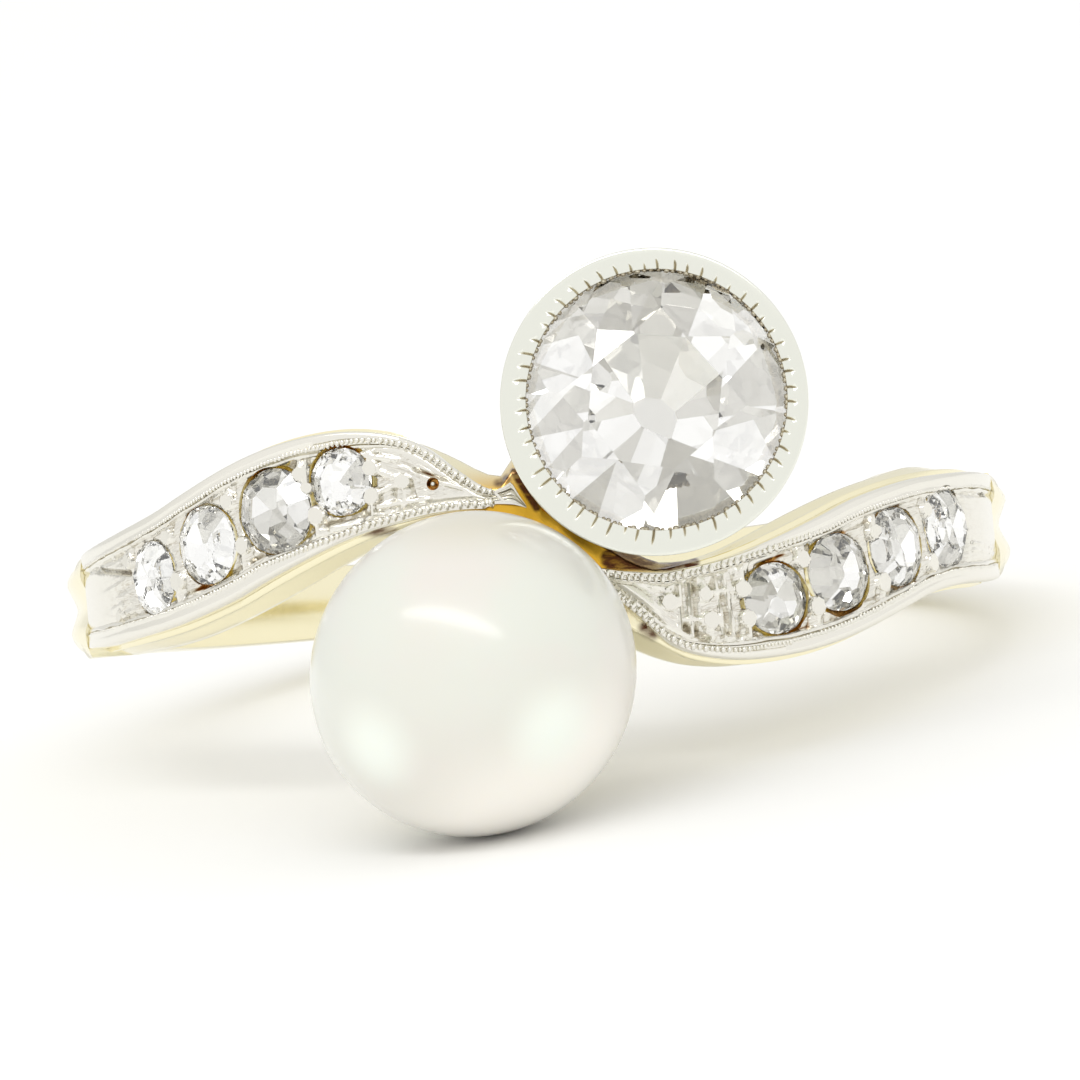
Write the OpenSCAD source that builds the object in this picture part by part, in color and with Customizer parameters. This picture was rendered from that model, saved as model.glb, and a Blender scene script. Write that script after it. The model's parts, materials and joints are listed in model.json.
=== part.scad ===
// Crossover ring: a gold hoop whose two set shoulders pass each other under a pearl and a diamond.
// In the ring's own frame X runs across the head, Y along the finger and Z out through the head.
// Every piece is then turned to the pose in which the ring lies on a flat surface, pearl side down.

/* [Finger hole] */
// Inner diameter of the hoop
finger_d = 16.9; // [16.7:0.1:17.1]

/* [Hoop] */
// Width of the band at its sides, along the finger
band_w = 1.85; // [1.75:0.05:1.95]
// Width of the band at the back
back_w = 1.35; // [1.2:0.05:1.85]
// Thickness of the band at the back
band_t = 1.2; // [1.1:0.05:1.3]
// Thickness of the hoop at the ends of the white metal facings
limb_t = 1.3; // [1.25:0.05:1.4]
// Thickness of gold and facing together beside the head
head_t = 2.15; // [2.05:0.05:2.25]
// Width of the bar that carries both heads
bar_w = 2; // [1.6:0.1:2.4]

/* [White metal facings] */
// Thickness of a facing
facing_t = 0.4; // [0.35:0.05:0.45]
// Width of the raised border along each edge
border_w = 0.34; // [0.28:0.02:0.38]
// Depth of the bed between the borders
bed_depth = 0.16; // [0.1:0.02:0.2]
// Angle round the hoop at which a facing ends
facing_end = 75; // [74:1:75]
// Angle at which its tip begins, by the head
facing_tip = 3; // [2:1:4]
// How far the tip of the right facing is turned up along the finger
tip_lift = 0.4; // [0:0.05:0.4]

/* [Small diamonds] */
// Crown height over diameter
small_crown = 0.16; // [0.12:0.01:0.18]
// Pavilion depth over diameter
small_pavilion = 0.42; // [0.38:0.01:0.44]
// How far the girdles sit below the tops of the borders
girdle_drop = 0.14; // [0.1:0.02:0.18]
// Width over diameter of the light hole under each stone
light_hole = 0.7; // [0.68:0.01:0.74]

/* [Pearl] */
// Diameter of the pearl
pearl_d = 6.5; // [6.3:0.1:6.5]
// Pearl centre across the head
pearl_x = -1.71; // [-1.8:0.01:-1.6]
// Pearl centre along the finger
pearl_y = -2.54; // [-2.7:0.01:-2.5]
// Pearl centre from the middle of the finger hole
pearl_z = 12.65; // [12.6:0.01:12.8]
// Diameter of the cup under the pearl
cup_d = 3.8; // [3.4:0.1:4]
// Diameter of the peg
peg_d = 0.7; // [0.6:0.05:0.9]
// Height of the peg above the cup
peg_h = 1.9; // [1.5:0.1:2.4]

/* [Collet] */
// Outer diameter of the collet at its rim
collet_d = 6.15; // [6.1:0.05:6.2]
// Outer diameter of the collet at its foot
foot_d = 4.4; // [4.2:0.1:4.6]
// Diameter of the opening that the rim leaves over the stone
opening_d = 5.2; // [5.1:0.05:5.25]
// Collet axis across the head
collet_x = 2.38; // [2.35:0.01:2.5]
// Collet axis along the finger
collet_y = 2.52; // [2.5:0.01:2.7]
// Height of the rim from the middle of the finger hole
rim_z = 12.8; // [12.7:0.05:12.9]
// Height of the foot from the middle of the finger hole
foot_z = 9.22; // [9.1:0.02:9.3]

/* [Main diamond] */
// Diameter of the stone
stone_d = 5.5; // [5.4:0.05:5.5]
// Table width over diameter
stone_table = 0.52; // [0.48:0.01:0.56]
// Crown height over diameter
stone_crown = 0.16; // [0.14:0.01:0.17]
// Pavilion depth over diameter
stone_pavilion = 0.43; // [0.41:0.01:0.44]

/* [Rest] */
// Angle by which the head lifts the front of the hoop
lean = 12.5; // [12:0.1:13]
// Sideways turn of the ring as it settles
roll = 4.6; // [4:0.1:6]

/* [Hidden] */
$fn = 96;
gap = 0.02;
finger_r = finger_d / 2;
buried_r = finger_r - 0.25;
beyond = 40;

// One row for each angle round the hoop, from the middle of the head down the right shoulder.
// The other shoulder is the same, turned half round about the line out through the head.
ANGLE = 0;
FACING_OUT = 1;
FACING_IN = 2;
GOLD_OUT = 3;
GOLD_IN = 4;
RISE = 5;
shoulder_rows = [
    // angle, facing's outer edge, facing's inner edge, gold's outer edge, gold's inner edge, rise
    [0, -0.80, -0.78, -1.00, 1.00, 0.80],
    [3, -0.98, -0.82, -1.35, 0.60, 0.86],
    [6, -1.24, -0.80, -1.65, 0.20, 0.92],
    [9, -1.66, -0.82, -2.00, -0.15, 0.97],
    [12, -2.13, -0.80, -2.29, -0.38, 1.00],
    [15, -2.43, -0.73, -2.50, -0.45, 1.00],
    [19, -2.61, -0.62, -2.65, -0.32, 1.00],
    [23, -2.66, -0.44, -2.68, -0.07, 0.98],
    [28, -2.60, -0.16, -2.62, 0.28, 0.93],
    [33, -2.44, 0.14, -2.47, 0.58, 0.87],
    [38, -2.20, 0.44, -2.24, 0.82, 0.79],
    [44, -1.86, 0.68, -1.91, 1.02, 0.69],
    [50, -1.55, 0.83, -1.60, 1.11, 0.57],
    [58, -1.30, 0.92, -1.35, 1.13, 0.40],
    [66, -1.14, 0.96, -1.18, 1.09, 0.21],
    [75, -1.02, 0.95, -1.04, 1.00, 0.00]
];

// The bare band: half its width, and its thickness in the groove, on the two ridges and at the edges.
HALF_W = 1;
GROOVE = 2;
RIDGE = 3;
EDGE = 4;
band_rows = [
    // angle, half width, groove, ridge, edge
    [75, band_w / 2 + 0.06, limb_t - 0.17, limb_t + 0.03, 0.85],
    [85, band_w / 2 + 0.02, limb_t - 0.17, limb_t + 0.05, 0.85],
    [95, band_w / 2, limb_t - 0.10, limb_t, 0.85],
    [110, band_w / 2 - 0.05, band_t + 0.05, band_t, 0.82],
    [140, (band_w + back_w) / 4, band_t + 0.02, band_t - 0.06, 0.80],
    [180, back_w / 2, band_t, band_t - 0.10, 0.78]
];

// Small diamonds from the end of each shoulder towards the head.
PLACE = 1;
SIZE = 2;
left_stones = [
    // angle, place along the finger, diameter
    [51.8, -0.24, 1.50],
    [41.3, -0.74, 1.60],
    [30.8, -1.23, 1.73],
    [22.2, -1.66, 1.37]
];
right_stones = [
    // angle, place along the finger, diameter
    [55.4, -0.19, 1.68],
    [44.3, -0.57, 1.62],
    [34.6, -1.02, 1.58],
    [25.7, -1.47, 1.45]
];
stone_lean = 5;
stones_a_side = len(left_stones);

// Smooth interpolation of one column of a table whose rows ascend in angle.
function segment(rows, at) = max([for (i = [0:len(rows) - 2]) if (at >= rows[i][ANGLE]) i]);
function rate(rows, column, i) =
    let (a = rows[max(i - 1, 0)], b = rows[min(i + 1, len(rows) - 1)])
    (b[column] - a[column]) / (b[ANGLE] - a[ANGLE]);
function read(rows, column, at) =
    let (i = segment(rows, at), a = rows[i], b = rows[i + 1], span = b[ANGLE] - a[ANGLE])
    let (s = (at - a[ANGLE]) / span, s2 = s * s, s3 = s2 * s)
    (2 * s3 - 3 * s2 + 1) * a[column] + (s3 - 2 * s2 + s) * span * rate(rows, column, i)
    + (3 * s2 - 2 * s3) * b[column] + (s3 - s2) * span * rate(rows, column, i + 1);
function mix(a, b, share) = a + (b - a) * min(max(share, 0), 1);

// A point at an angle round the hoop, a radius and a place along the finger.
function on_hoop(angle, radius, along) = [radius * sin(angle), along, radius * cos(angle)];
function top_radius(angle) =
    finger_r + limb_t + (head_t - limb_t) * read(shoulder_rows, RISE, abs(angle));

// Edges of the gold under a shoulder, and of the flat on which the facing lies.
bevel_w = 0.35;
bevel_h = 0.5;
bevel_bulge = 0.6;
flat_from = 8;
flat_over = 6;
function gold_low(angle) =
    angle < 0 ? -read(shoulder_rows, GOLD_IN, -angle) : read(shoulder_rows, GOLD_OUT, angle);
function facing_low(angle) =
    angle < 0 ? -read(shoulder_rows, FACING_IN, -angle) : read(shoulder_rows, FACING_OUT, angle);
function flat_low(angle) =
    mix(gold_low(angle) + bevel_w, facing_low(angle), (abs(angle) - flat_from) / flat_over);

function shoulder_section(angle) =
    let (low = gold_low(angle), high = -gold_low(-angle))
    let (flat_a = flat_low(angle), flat_b = -flat_low(-angle))
    let (top = top_radius(angle) - facing_t - gap, side = top - bevel_h, turn = top - bevel_h / 4)
    [
        on_hoop(angle, buried_r, low), on_hoop(angle, buried_r, high),
        on_hoop(angle, side, high), on_hoop(angle, turn, mix(high, flat_b, bevel_bulge)),
        on_hoop(angle, top, flat_b), on_hoop(angle, top, (flat_a + flat_b) / 2),
        on_hoop(angle, top, flat_a),
        on_hoop(angle, turn, mix(low, flat_a, bevel_bulge)), on_hoop(angle, side, low)
    ];

// The band's two ridges run at half its half width, and its edges are rounded outside them.
ridge_at = 0.5;
round_at = 0.85;
round_share = 0.65;
function band_section(angle) =
    let (down = angle > 180 ? 360 - angle : angle, half = read(band_rows, HALF_W, down))
    let (edge = finger_r + read(band_rows, EDGE, down), ridge = finger_r + read(band_rows, RIDGE, down))
    let (groove = finger_r + read(band_rows, GROOVE, down), turn = mix(edge, ridge, round_share))
    [
        on_hoop(angle, buried_r, -half), on_hoop(angle, buried_r, half),
        on_hoop(angle, edge, half), on_hoop(angle, turn, half * round_at),
        on_hoop(angle, ridge, half * ridge_at), on_hoop(angle, groove, 0),
        on_hoop(angle, ridge, -half * ridge_at),
        on_hoop(angle, turn, -half * round_at), on_hoop(angle, edge, -half)
    ];

// A solid through a list of sections with the same number of points, closed into a loop or capped.
module through(sections, loop = false) {
    rings = len(sections);
    sides = len(sections[0]);
    skin = [
        for (i = [0:rings - (loop ? 1 : 2)], j = [0:sides - 1])
            let (a = i * sides, b = ((i + 1) % rings) * sides, k = (j + 1) % sides)
            [a + j, b + j, b + k, a + k]
    ];
    caps = loop ? [] : [
        [for (j = [0:sides - 1]) j],
        [for (j = [sides - 1:-1:0]) (rings - 1) * sides + j]
    ];
    polyhedron(points = [for (s = sections) each s], faces = concat(skin, caps), convexity = 8);
}

// Turns and moves what belongs to the ring into its place as it lies on a surface.
module lying() {
    rotate([0, roll, 0]) rotate([90 - lean, 0, 0]) children();
}

module turned_for(side) {
    rotate([0, 0, side == "left" ? 180 : 0]) children();
}

// Places what belongs to one small diamond, with its girdle at the origin and its axis along Z.
module at_stone(row) {
    rotate([0, row[ANGLE], 0])
        translate([0, row[PLACE], top_radius(row[ANGLE]) - girdle_drop])
            rotate([0, stone_lean, 0])
                children();
}

module finger_hole() {
    rotate([90, 0, 0]) cylinder(d = finger_d, h = beyond, center = true);
}

// Corners of a round brilliant, from the table down to the culet, with the girdle at height 0.
// Culets, the girdle's half height and the reach of the stars and lower facets are shares of the stone.
girdle_half = 0.01;
small_culet = 0.08;
stone_culet = 0.06;
star_reach = 0.42;
lower_reach = 0.38;
mains = 8;
half_turn = 180 / mains;
function ring_of(count, radius, height, turn) =
    [for (i = [0:count - 1]) let (a = turn + i * 360 / count) [radius * cos(a), radius * sin(a), height]];
function facet_height(at_radius, outer, inner, height) =
    height * (outer - at_radius * cos(half_turn)) / (outer - inner);
function brilliant(diameter, table, crown, pavilion, culet) =
    let (r = diameter / 2, table_r = r * table, culet_r = r * culet, band = diameter * girdle_half)
    let (star_r = mix(table_r, r, star_reach), lower_r = mix(culet_r, r, lower_reach))
    let (up = diameter * crown, down = diameter * pavilion)
    concat(
        ring_of(mains, table_r, band + up, 0),
        ring_of(mains, star_r, band + facet_height(star_r, r, table_r, up), half_turn),
        ring_of(2 * mains, r, band, 0),
        ring_of(2 * mains, r, -band, 0),
        ring_of(mains, lower_r, -band - facet_height(lower_r, r, culet_r, down), half_turn),
        ring_of(mains, culet_r, -band - down, 0)
    );
module cut_stone(corners) {
    hull() polyhedron(points = corners, faces = [for (i = [0:len(corners) - 3]) [i, i + 1, i + 2]]);
}

// Gold under both shoulders and round the finger, with the bar and seats that carry the heads.
shoulder_step = 2.5;
band_steps = 42;
rebate_wall = 0.25;
module hoop_sweep() {
    rebate = facing_end + rebate_wall;
    shoulder_angles = [for (a = [-facing_end:shoulder_step:facing_end]) a];
    band_angles = [for (i = [0:band_steps]) rebate + i * (360 - 2 * rebate) / band_steps];
    through(
        concat(
            [for (a = shoulder_angles) shoulder_section(a)],
            [for (a = band_angles) band_section(a)]
        ),
        loop = true
    );
}

// Everything that carries the heads starts inside the finger hole, which is bored last.
bar_top = foot_z - gap;
bar_base = finger_r - 0.9;
seat_base = finger_r - 0.7;
module head_bar() {
    from = [pearl_x, pearl_y];
    to = [collet_x, collet_y];
    run = to - from;
    translate([from[0], from[1], bar_base])
        rotate([0, 0, atan2(run[1], run[0])])
            translate([0, -bar_w / 2, 0])
                cube([norm(run), bar_w, bar_top - bar_base]);
}

seat_wall = 0.55;
seat_hole_d = foot_d - 2 * seat_wall;
seat_taper = 0.5;
seat_edge = 0.1;
module collet_seat() {
    translate([collet_x, collet_y, seat_base])
        cylinder(d1 = foot_d + seat_edge - seat_taper, d2 = foot_d + seat_edge, h = bar_top - seat_base);
}
module collet_light_hole() {
    translate([collet_x, collet_y, 0]) cylinder(d = seat_hole_d, h = rim_z);
}

// The pearl sits in a shallow cup on a short stem, and a peg goes up into its drilled hole.
pearl_r = pearl_d / 2;
pearl_low = pearl_z - pearl_r;
cup_lip = 0.15;
cup_t = 0.35;
cup_rim = pearl_z - sqrt(pow(pearl_r, 2) - pow(cup_d / 2 - cup_lip, 2));
cup_floor = pearl_low - cup_t;
stem_d = 2.4;
module pearl_seat() {
    translate([pearl_x, pearl_y, 0]) {
        translate([0, 0, seat_base]) cylinder(d = stem_d, h = cup_floor - seat_base + gap);
        difference() {
            translate([0, 0, cup_floor]) cylinder(d1 = stem_d, d2 = cup_d, h = cup_rim - cup_floor);
            translate([0, 0, pearl_z]) sphere(r = pearl_r + gap);
        }
        translate([0, 0, cup_floor]) cylinder(d = peg_d, h = pearl_low + peg_h - cup_floor);
    }
}

// A light hole runs from a stone's girdle right through the gold.
light_hole_h = 3;
module drilled(size) {
    translate([0, 0, -light_hole_h]) cylinder(d = size * light_hole, h = light_hole_h);
}

module gold_hoop() {
    color("khaki") lying() difference() {
        union() {
            hoop_sweep();
            head_bar();
            collet_seat();
            pearl_seat();
        }
        finger_hole();
        collet_light_hole();
        turned_for("left") for (row = left_stones) at_stone(row) drilled(row[SIZE]);
        turned_for("right") for (row = right_stones) at_stone(row) drilled(row[SIZE]);
    }
}

// Facing section: flat underneath, raised borders with chamfered outer edges and a bed between them.
// The bed rises to the surface at both ends, and where the facing is narrow its borders shrink with it.
facing_chamfer = 0.08;
bed_wall = 0.05;
bed_least = 0.005;
bed_fade = 9;
border_share = 0.3;
chamfer_share = 0.15;
wall_share = 0.1;
facing_steps = 48;
end_gap = 0.2;
lift_over = 13;
function bed_at(angle) =
    bed_depth * mix(0, 1, (angle - facing_tip) / bed_fade) * mix(0, 1, (facing_end - angle) / bed_fade);
function facing_section(angle, lift) =
    let (shift = lift * mix(1, 0, angle / lift_over))
    let (low = shift + read(shoulder_rows, FACING_OUT, angle))
    let (high = shift + read(shoulder_rows, FACING_IN, angle), width = high - low)
    let (top = top_radius(angle), bottom = top - facing_t, bed = top - max(bed_at(angle), bed_least))
    let (border = min(border_w, width * border_share), cut = min(facing_chamfer, width * chamfer_share))
    let (wall = min(bed_wall, width * wall_share))
    [
        on_hoop(angle, bottom, low), on_hoop(angle, bottom, high),
        on_hoop(angle, top - cut, high), on_hoop(angle, top, high - cut),
        on_hoop(angle, top, high - border), on_hoop(angle, bed, high - border - wall),
        on_hoop(angle, bed, low + border + wall),
        on_hoop(angle, top, low + border), on_hoop(angle, top, low + cut), on_hoop(angle, top - cut, low)
    ];

// Seat of a small diamond: straight beside the girdle, coned like the pavilion and open underneath.
seat_open_h = 1;
module stone_seat(size) {
    wide = size / 2 + gap;
    shelf = -size * girdle_half - gap;
    cone_h = wide * small_pavilion * 2 / (1 - small_culet);
    translate([0, 0, shelf]) cylinder(r = wide, h = seat_open_h);
    translate([0, 0, shelf - cone_h]) cylinder(r1 = 0, r2 = wide, h = cone_h);
    drilled(size);
}

module shoulder_plate(side, rows, lift) {
    color("gainsboro") lying() turned_for(side) difference() {
        through([
            for (i = [0:facing_steps])
                facing_section(mix(facing_tip, facing_end - end_gap, i / facing_steps), lift)
        ]);
        for (row = rows) at_stone(row) stone_seat(row[SIZE]);
    }
}

module shoulder_plate_left() { shoulder_plate("left", left_stones, 0); }
module shoulder_plate_right() { shoulder_plate("right", right_stones, tip_lift); }

// Collet: a flared wall whose rim is turned in over the edge of the stone, with a bearing below it.
rim_r = collet_d / 2;
lip_r = opening_d / 2;
foot_r = foot_d / 2;
girdle_under_rim = 0.4;
girdle_z = rim_z - girdle_under_rim;
cavity_r = stone_d / 2 + gap;
cavity_half = 0.09;
flare_end = 0.9;
flare_in = 0.08;
rim_round = 0.16;
lip_fall = 0.08;
lip_t = 0.12;
bearing_in = 0.31;
bearing_down = 0.27;
module diamond_collet() {
    profile = concat(
        [[foot_r, foot_z], [rim_r - flare_in, rim_z - flare_end]],
        [for (a = [0:15:90]) [rim_r - rim_round * (1 - cos(a)), rim_z - rim_round * (1 - sin(a))]],
        [[lip_r, rim_z - lip_fall], [lip_r, rim_z - lip_fall - lip_t]],
        [[cavity_r, girdle_z + cavity_half], [cavity_r, girdle_z - cavity_half]],
        [[cavity_r - bearing_in, girdle_z - cavity_half - bearing_down], [seat_hole_d / 2, foot_z]]
    );
    color("gainsboro") lying()
        translate([collet_x, collet_y, 0]) rotate_extrude() polygon(profile);
}

module centre_diamond() {
    color("white") lying() translate([collet_x, collet_y, girdle_z])
        cut_stone(brilliant(stone_d, stone_table, stone_crown, stone_pavilion, stone_culet));
}

module pearl() {
    color("seashell") lying() difference() {
        translate([pearl_x, pearl_y, pearl_z]) sphere(r = pearl_r);
        translate([pearl_x, pearl_y, cup_floor])
            cylinder(d = peg_d + 2 * gap, h = pearl_low + peg_h + gap - cup_floor);
    }
}

module small_diamond(side, row) {
    color("white") lying() turned_for(side) at_stone(row)
        cut_stone(brilliant(row[SIZE], stone_table, small_crown, small_pavilion, small_culet));
}

gold_hoop();
shoulder_plate_left();
shoulder_plate_right();
diamond_collet();
centre_diamond();
pearl();
for (i = [1:stones_a_side]) {
    small_diamond("left", left_stones[i - 1]);
    small_diamond("right", right_stones[i - 1]);
}
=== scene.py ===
"""A crossover finger ring with a pearl and a diamond, modelled around its packed construction.

Pieces are modelled in millimetres in the ring's own frame, where X runs across the head, Y along the finger
and Z out through the head. Each one is then scaled to metres and turned to where the ring lies.
"""

import json
import math
import random

import bmesh
import bpy
from mathutils import Matrix, Vector, noise


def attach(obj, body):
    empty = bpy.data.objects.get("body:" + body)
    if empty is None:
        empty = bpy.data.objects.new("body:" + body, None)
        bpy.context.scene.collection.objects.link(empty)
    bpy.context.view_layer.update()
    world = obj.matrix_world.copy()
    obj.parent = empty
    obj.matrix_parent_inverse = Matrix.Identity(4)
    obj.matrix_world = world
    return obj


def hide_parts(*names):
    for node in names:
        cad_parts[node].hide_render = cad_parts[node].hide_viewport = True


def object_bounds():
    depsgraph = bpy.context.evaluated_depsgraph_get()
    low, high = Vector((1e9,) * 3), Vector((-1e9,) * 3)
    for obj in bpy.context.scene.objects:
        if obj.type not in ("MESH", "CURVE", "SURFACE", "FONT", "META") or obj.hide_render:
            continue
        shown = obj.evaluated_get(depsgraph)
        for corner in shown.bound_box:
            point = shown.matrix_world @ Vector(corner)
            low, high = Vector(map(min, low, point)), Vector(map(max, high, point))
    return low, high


bl_info = {
    "name": "Crossover Ring",
    "version": (1, 0, 0),
    "blender": (4, 5, 0),
    "location": "3D View > Sidebar > Ring",
    "description": "Models a pearl and diamond crossover ring and the table it lies on",
    "category": "Add Mesh",
}

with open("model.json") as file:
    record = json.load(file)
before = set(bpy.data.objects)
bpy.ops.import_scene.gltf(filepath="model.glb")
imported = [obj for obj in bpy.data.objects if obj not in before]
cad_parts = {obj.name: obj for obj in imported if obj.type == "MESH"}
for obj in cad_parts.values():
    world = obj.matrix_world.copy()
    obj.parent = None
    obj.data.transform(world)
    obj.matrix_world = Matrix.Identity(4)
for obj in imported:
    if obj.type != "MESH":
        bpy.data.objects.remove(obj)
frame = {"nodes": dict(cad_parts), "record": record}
CAD_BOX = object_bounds()

# The finger hole gives the ring's pose: its axis is the ring frame's Y.
MM = 0.001
BORE = frame["record"]["mounts"][0]
FINGER_R = BORE["dims"]["r_mm"]
AXIS = Vector(BORE["axis"])
LYING = (
    Matrix.Rotation(math.atan2(AXIS.x, AXIS.z), 4, "Y")
    @ Matrix.Rotation(math.pi / 2 - math.asin(AXIS.y), 4, "X")
)
UPRIGHT = Matrix.Scale(1 / MM, 4) @ LYING.inverted()


def ring_box(node):
    """Lowest and highest corners of a CAD node in the ring frame, in millimetres."""
    corners = [UPRIGHT @ v.co for v in frame["nodes"][node].data.vertices]
    low = Vector([min(c[k] for c in corners) for k in range(3)])
    high = Vector([max(c[k] for c in corners) for k in range(3)])
    return low, high


COLLET_LOW, COLLET_HIGH = ring_box("diamond_collet")
HEAD_STONE_LOW, HEAD_STONE_HIGH = ring_box("centre_diamond")
PEARL_LOW, PEARL_HIGH = ring_box("pearl")
COLLET_CENTRE = (COLLET_LOW + COLLET_HIGH) / 2
PEARL_CENTRE = (PEARL_LOW + PEARL_HIGH) / 2
PEARL_R = (PEARL_HIGH.x - PEARL_LOW.x) / 2

# Sections of the right shoulder, from the middle of the head to the end of its facing. The left shoulder has
# the same ones, turned half round about Z. Edges are places along the finger, and rise is the share of the
# head's thickness.
ANGLE, FACING_OUT, FACING_IN, GOLD_OUT, GOLD_IN, RISE = range(6)
SHOULDER = (
    (0, -0.80, -0.78, -1.00, 1.00, 0.80),
    (3, -0.98, -0.82, -1.35, 0.60, 0.86),
    (6, -1.24, -0.80, -1.65, 0.20, 0.92),
    (9, -1.66, -0.82, -2.00, -0.15, 0.97),
    (12, -2.13, -0.80, -2.29, -0.38, 1.00),
    (15, -2.43, -0.73, -2.50, -0.45, 1.00),
    (19, -2.61, -0.62, -2.65, -0.32, 1.00),
    (23, -2.66, -0.44, -2.68, -0.07, 0.98),
    (28, -2.60, -0.16, -2.62, 0.28, 0.93),
    (33, -2.44, 0.14, -2.47, 0.58, 0.87),
    (38, -2.20, 0.44, -2.24, 0.82, 0.79),
    (44, -1.86, 0.68, -1.91, 1.02, 0.69),
    (50, -1.55, 0.83, -1.60, 1.11, 0.57),
    (58, -1.30, 0.92, -1.35, 1.13, 0.40),
    (66, -1.14, 0.96, -1.18, 1.09, 0.21),
    (75, -1.02, 0.95, -1.04, 1.00, 0.00),
)
LIMB_T, HEAD_T = 1.3, 2.15
FACING_T, FACING_END, BED_FROM, BED_FADE = 0.4, 74.8, 3, 9
FACING_TIP = {"left": 1.7, "right": 3}
TIP_LIFT, LIFT_OVER = {"left": 0, "right": 0.4}, 13
# Outline of the left facing's tip, which flares towards the collet: angle, outer and inner edge.
FLARED_TIP = (
    (1.7, -0.80, -0.76), (2.4, -1.04, -0.80), (3.1, -1.32, -0.83),
    (4.0, -1.23, -0.86), (5.0, -1.17, -0.88), (6.2, -1.26, -0.82),
)
# How much further out the lower edge lies near the end of each shoulder, and from which angle to which.
END_WIDER, END_FROM, END_OVER, END_GONE = {"left": 0.14, "right": 0.19}, {"left": 60, "right": 50}, 20, 98
GAP = 0.02
FULL_TURN = 360

# Sections of the bare band: half its width, and how thick it is at its edges, on its ridges and between them.
HALF_W, EDGE, RIDGE, GROOVE = range(1, 5)
BAND = (
    (75, 0.985, 0.85, 1.33, 1.13),
    (85, 0.945, 0.85, 1.35, 1.13),
    (95, 0.925, 0.85, 1.30, 1.20),
    (110, 0.875, 0.82, 1.20, 1.25),
    (140, 0.80, 0.80, 1.14, 1.22),
    (180, 0.675, 0.78, 1.10, 1.20),
)

# Small diamonds, from the end of each shoulder to the head: angle, place along the finger, diameter, and how
# far the seat lies off the stone, round the hoop and along the finger.
PLACE, SIZE, OFF_ROUND, OFF_ALONG = range(1, 5)
STONES = {
    "left": (
        (51.8, -0.24, 1.50, 0.0, 0.02),
        (41.3, -0.74, 1.60, 0.02, 0.0),
        (30.8, -1.23, 1.73, 0.02, -0.03),
        (22.2, -1.66, 1.37, 0.01, -0.05),
    ),
    "right": (
        (55.4, -0.19, 1.68, 0.0, 0.02),
        (44.3, -0.57, 1.62, 0.03, 0.0),
        (34.6, -1.02, 1.58, 0.0, -0.05),
        (25.7, -1.47, 1.45, 0.03, -0.02),
    ),
}
STONE_LEAN, GIRDLE_DROP = 5, 0.14


def mix(a, b, share):
    return a + (b - a) * min(max(share, 0), 1)


def evenly(a, b, steps):
    """Values from one number to another, in equal steps."""
    return [mix(a, b, k / steps) for k in range(steps + 1)]


def read(rows, column, at):
    """One column of a table at an angle, smoothly interpolated between its rows."""
    last = len(rows) - 2
    i = max([k for k in range(last + 1) if at >= rows[k][ANGLE]] or [0])

    def rate(k):
        a, b = rows[max(k - 1, 0)], rows[min(k + 1, last + 1)]
        return (b[column] - a[column]) / (b[ANGLE] - a[ANGLE])

    span = rows[i + 1][ANGLE] - rows[i][ANGLE]
    s = (at - rows[i][ANGLE]) / span
    start = (2 * s**3 - 3 * s**2 + 1) * rows[i][column] + (s**3 - 2 * s**2 + s) * span * rate(i)
    return start + (3 * s**2 - 2 * s**3) * rows[i + 1][column] + (s**3 - s**2) * span * rate(i + 1)


def on_hoop(angle, radius, along):
    turn = math.radians(angle)
    return Vector((radius * math.sin(turn), along, radius * math.cos(turn)))


def top_radius(angle):
    return FINGER_R + LIMB_T + (HEAD_T - LIMB_T) * read(SHOULDER, RISE, min(abs(angle), FACING_END))


def eased(share):
    """A share between 0 and 1 with a smooth start and end."""
    share = min(max(share, 0), 1)
    return share * share * (3 - 2 * share)


def end_widening(side, angle):
    """How far the lower edge lies beyond the table's, near the end of a shoulder."""
    rise, fall = eased((angle - END_FROM[side]) / END_OVER), eased((END_GONE - angle) / END_OVER)
    return END_WIDER[side] * rise * fall


def along_line(points, at):
    """The values of a line of points at a place, straight between each two."""
    for before, after in zip(points, points[1:]):
        if at <= after[0]:
            break
    share = (at - before[0]) / (after[0] - before[0])
    return [mix(a, b, share) for a, b in zip(before[1:], after[1:])]


def facing_edges(side, angle):
    """Where a facing's outer and inner edges are along the finger, as on the right shoulder."""
    if side == "left" and angle < FLARED_TIP[-1][0]:
        return along_line(FLARED_TIP, angle)
    lift = mix(TIP_LIFT[side], 0, angle / LIFT_OVER)
    low, high = read(SHOULDER, FACING_OUT, angle) + lift, read(SHOULDER, FACING_IN, angle) + lift
    return (low if side == "left" else low - end_widening(side, angle)), high


def half_round(side):
    """Matrix that turns what is modelled on the right shoulder to a side."""
    return Matrix.Rotation(math.pi if side == "left" else 0, 4, "Z")


def shoulder_place(side, angle, along, radius, heading=0):
    """Matrix that puts what is modelled at the origin, with Z outwards, on a shoulder."""
    round_hoop = Matrix.Rotation(math.radians(angle), 4, "Y")
    outwards = Matrix.Translation((0, along, radius))
    return half_round(side) @ round_hoop @ outwards @ Matrix.Rotation(heading, 4, "Z")


def head_place(centre, height=0):
    """Matrix that moves what is modelled about Z to the axis of one of the heads."""
    return Matrix.Translation((*centre.xy, height))


def stone_place(side, row):
    """Matrix of a small diamond, with its girdle at the origin."""
    place = shoulder_place(side, row[ANGLE], row[PLACE], top_radius(row[ANGLE]) - GIRDLE_DROP)
    return place @ Matrix.Rotation(math.radians(STONE_LEAN), 4, "Y")


def only(*objects):
    """Selects these objects and no others, in object mode."""
    if bpy.context.mode != "OBJECT":
        bpy.ops.object.mode_set(mode="OBJECT")
    bpy.ops.object.select_all(action="DESELECT")
    for o in objects:
        o.select_set(True)
    bpy.context.view_layer.objects.active = objects[0]


def named(name):
    piece = bpy.context.object
    piece.name = name
    piece.data.name = name
    return piece


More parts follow.
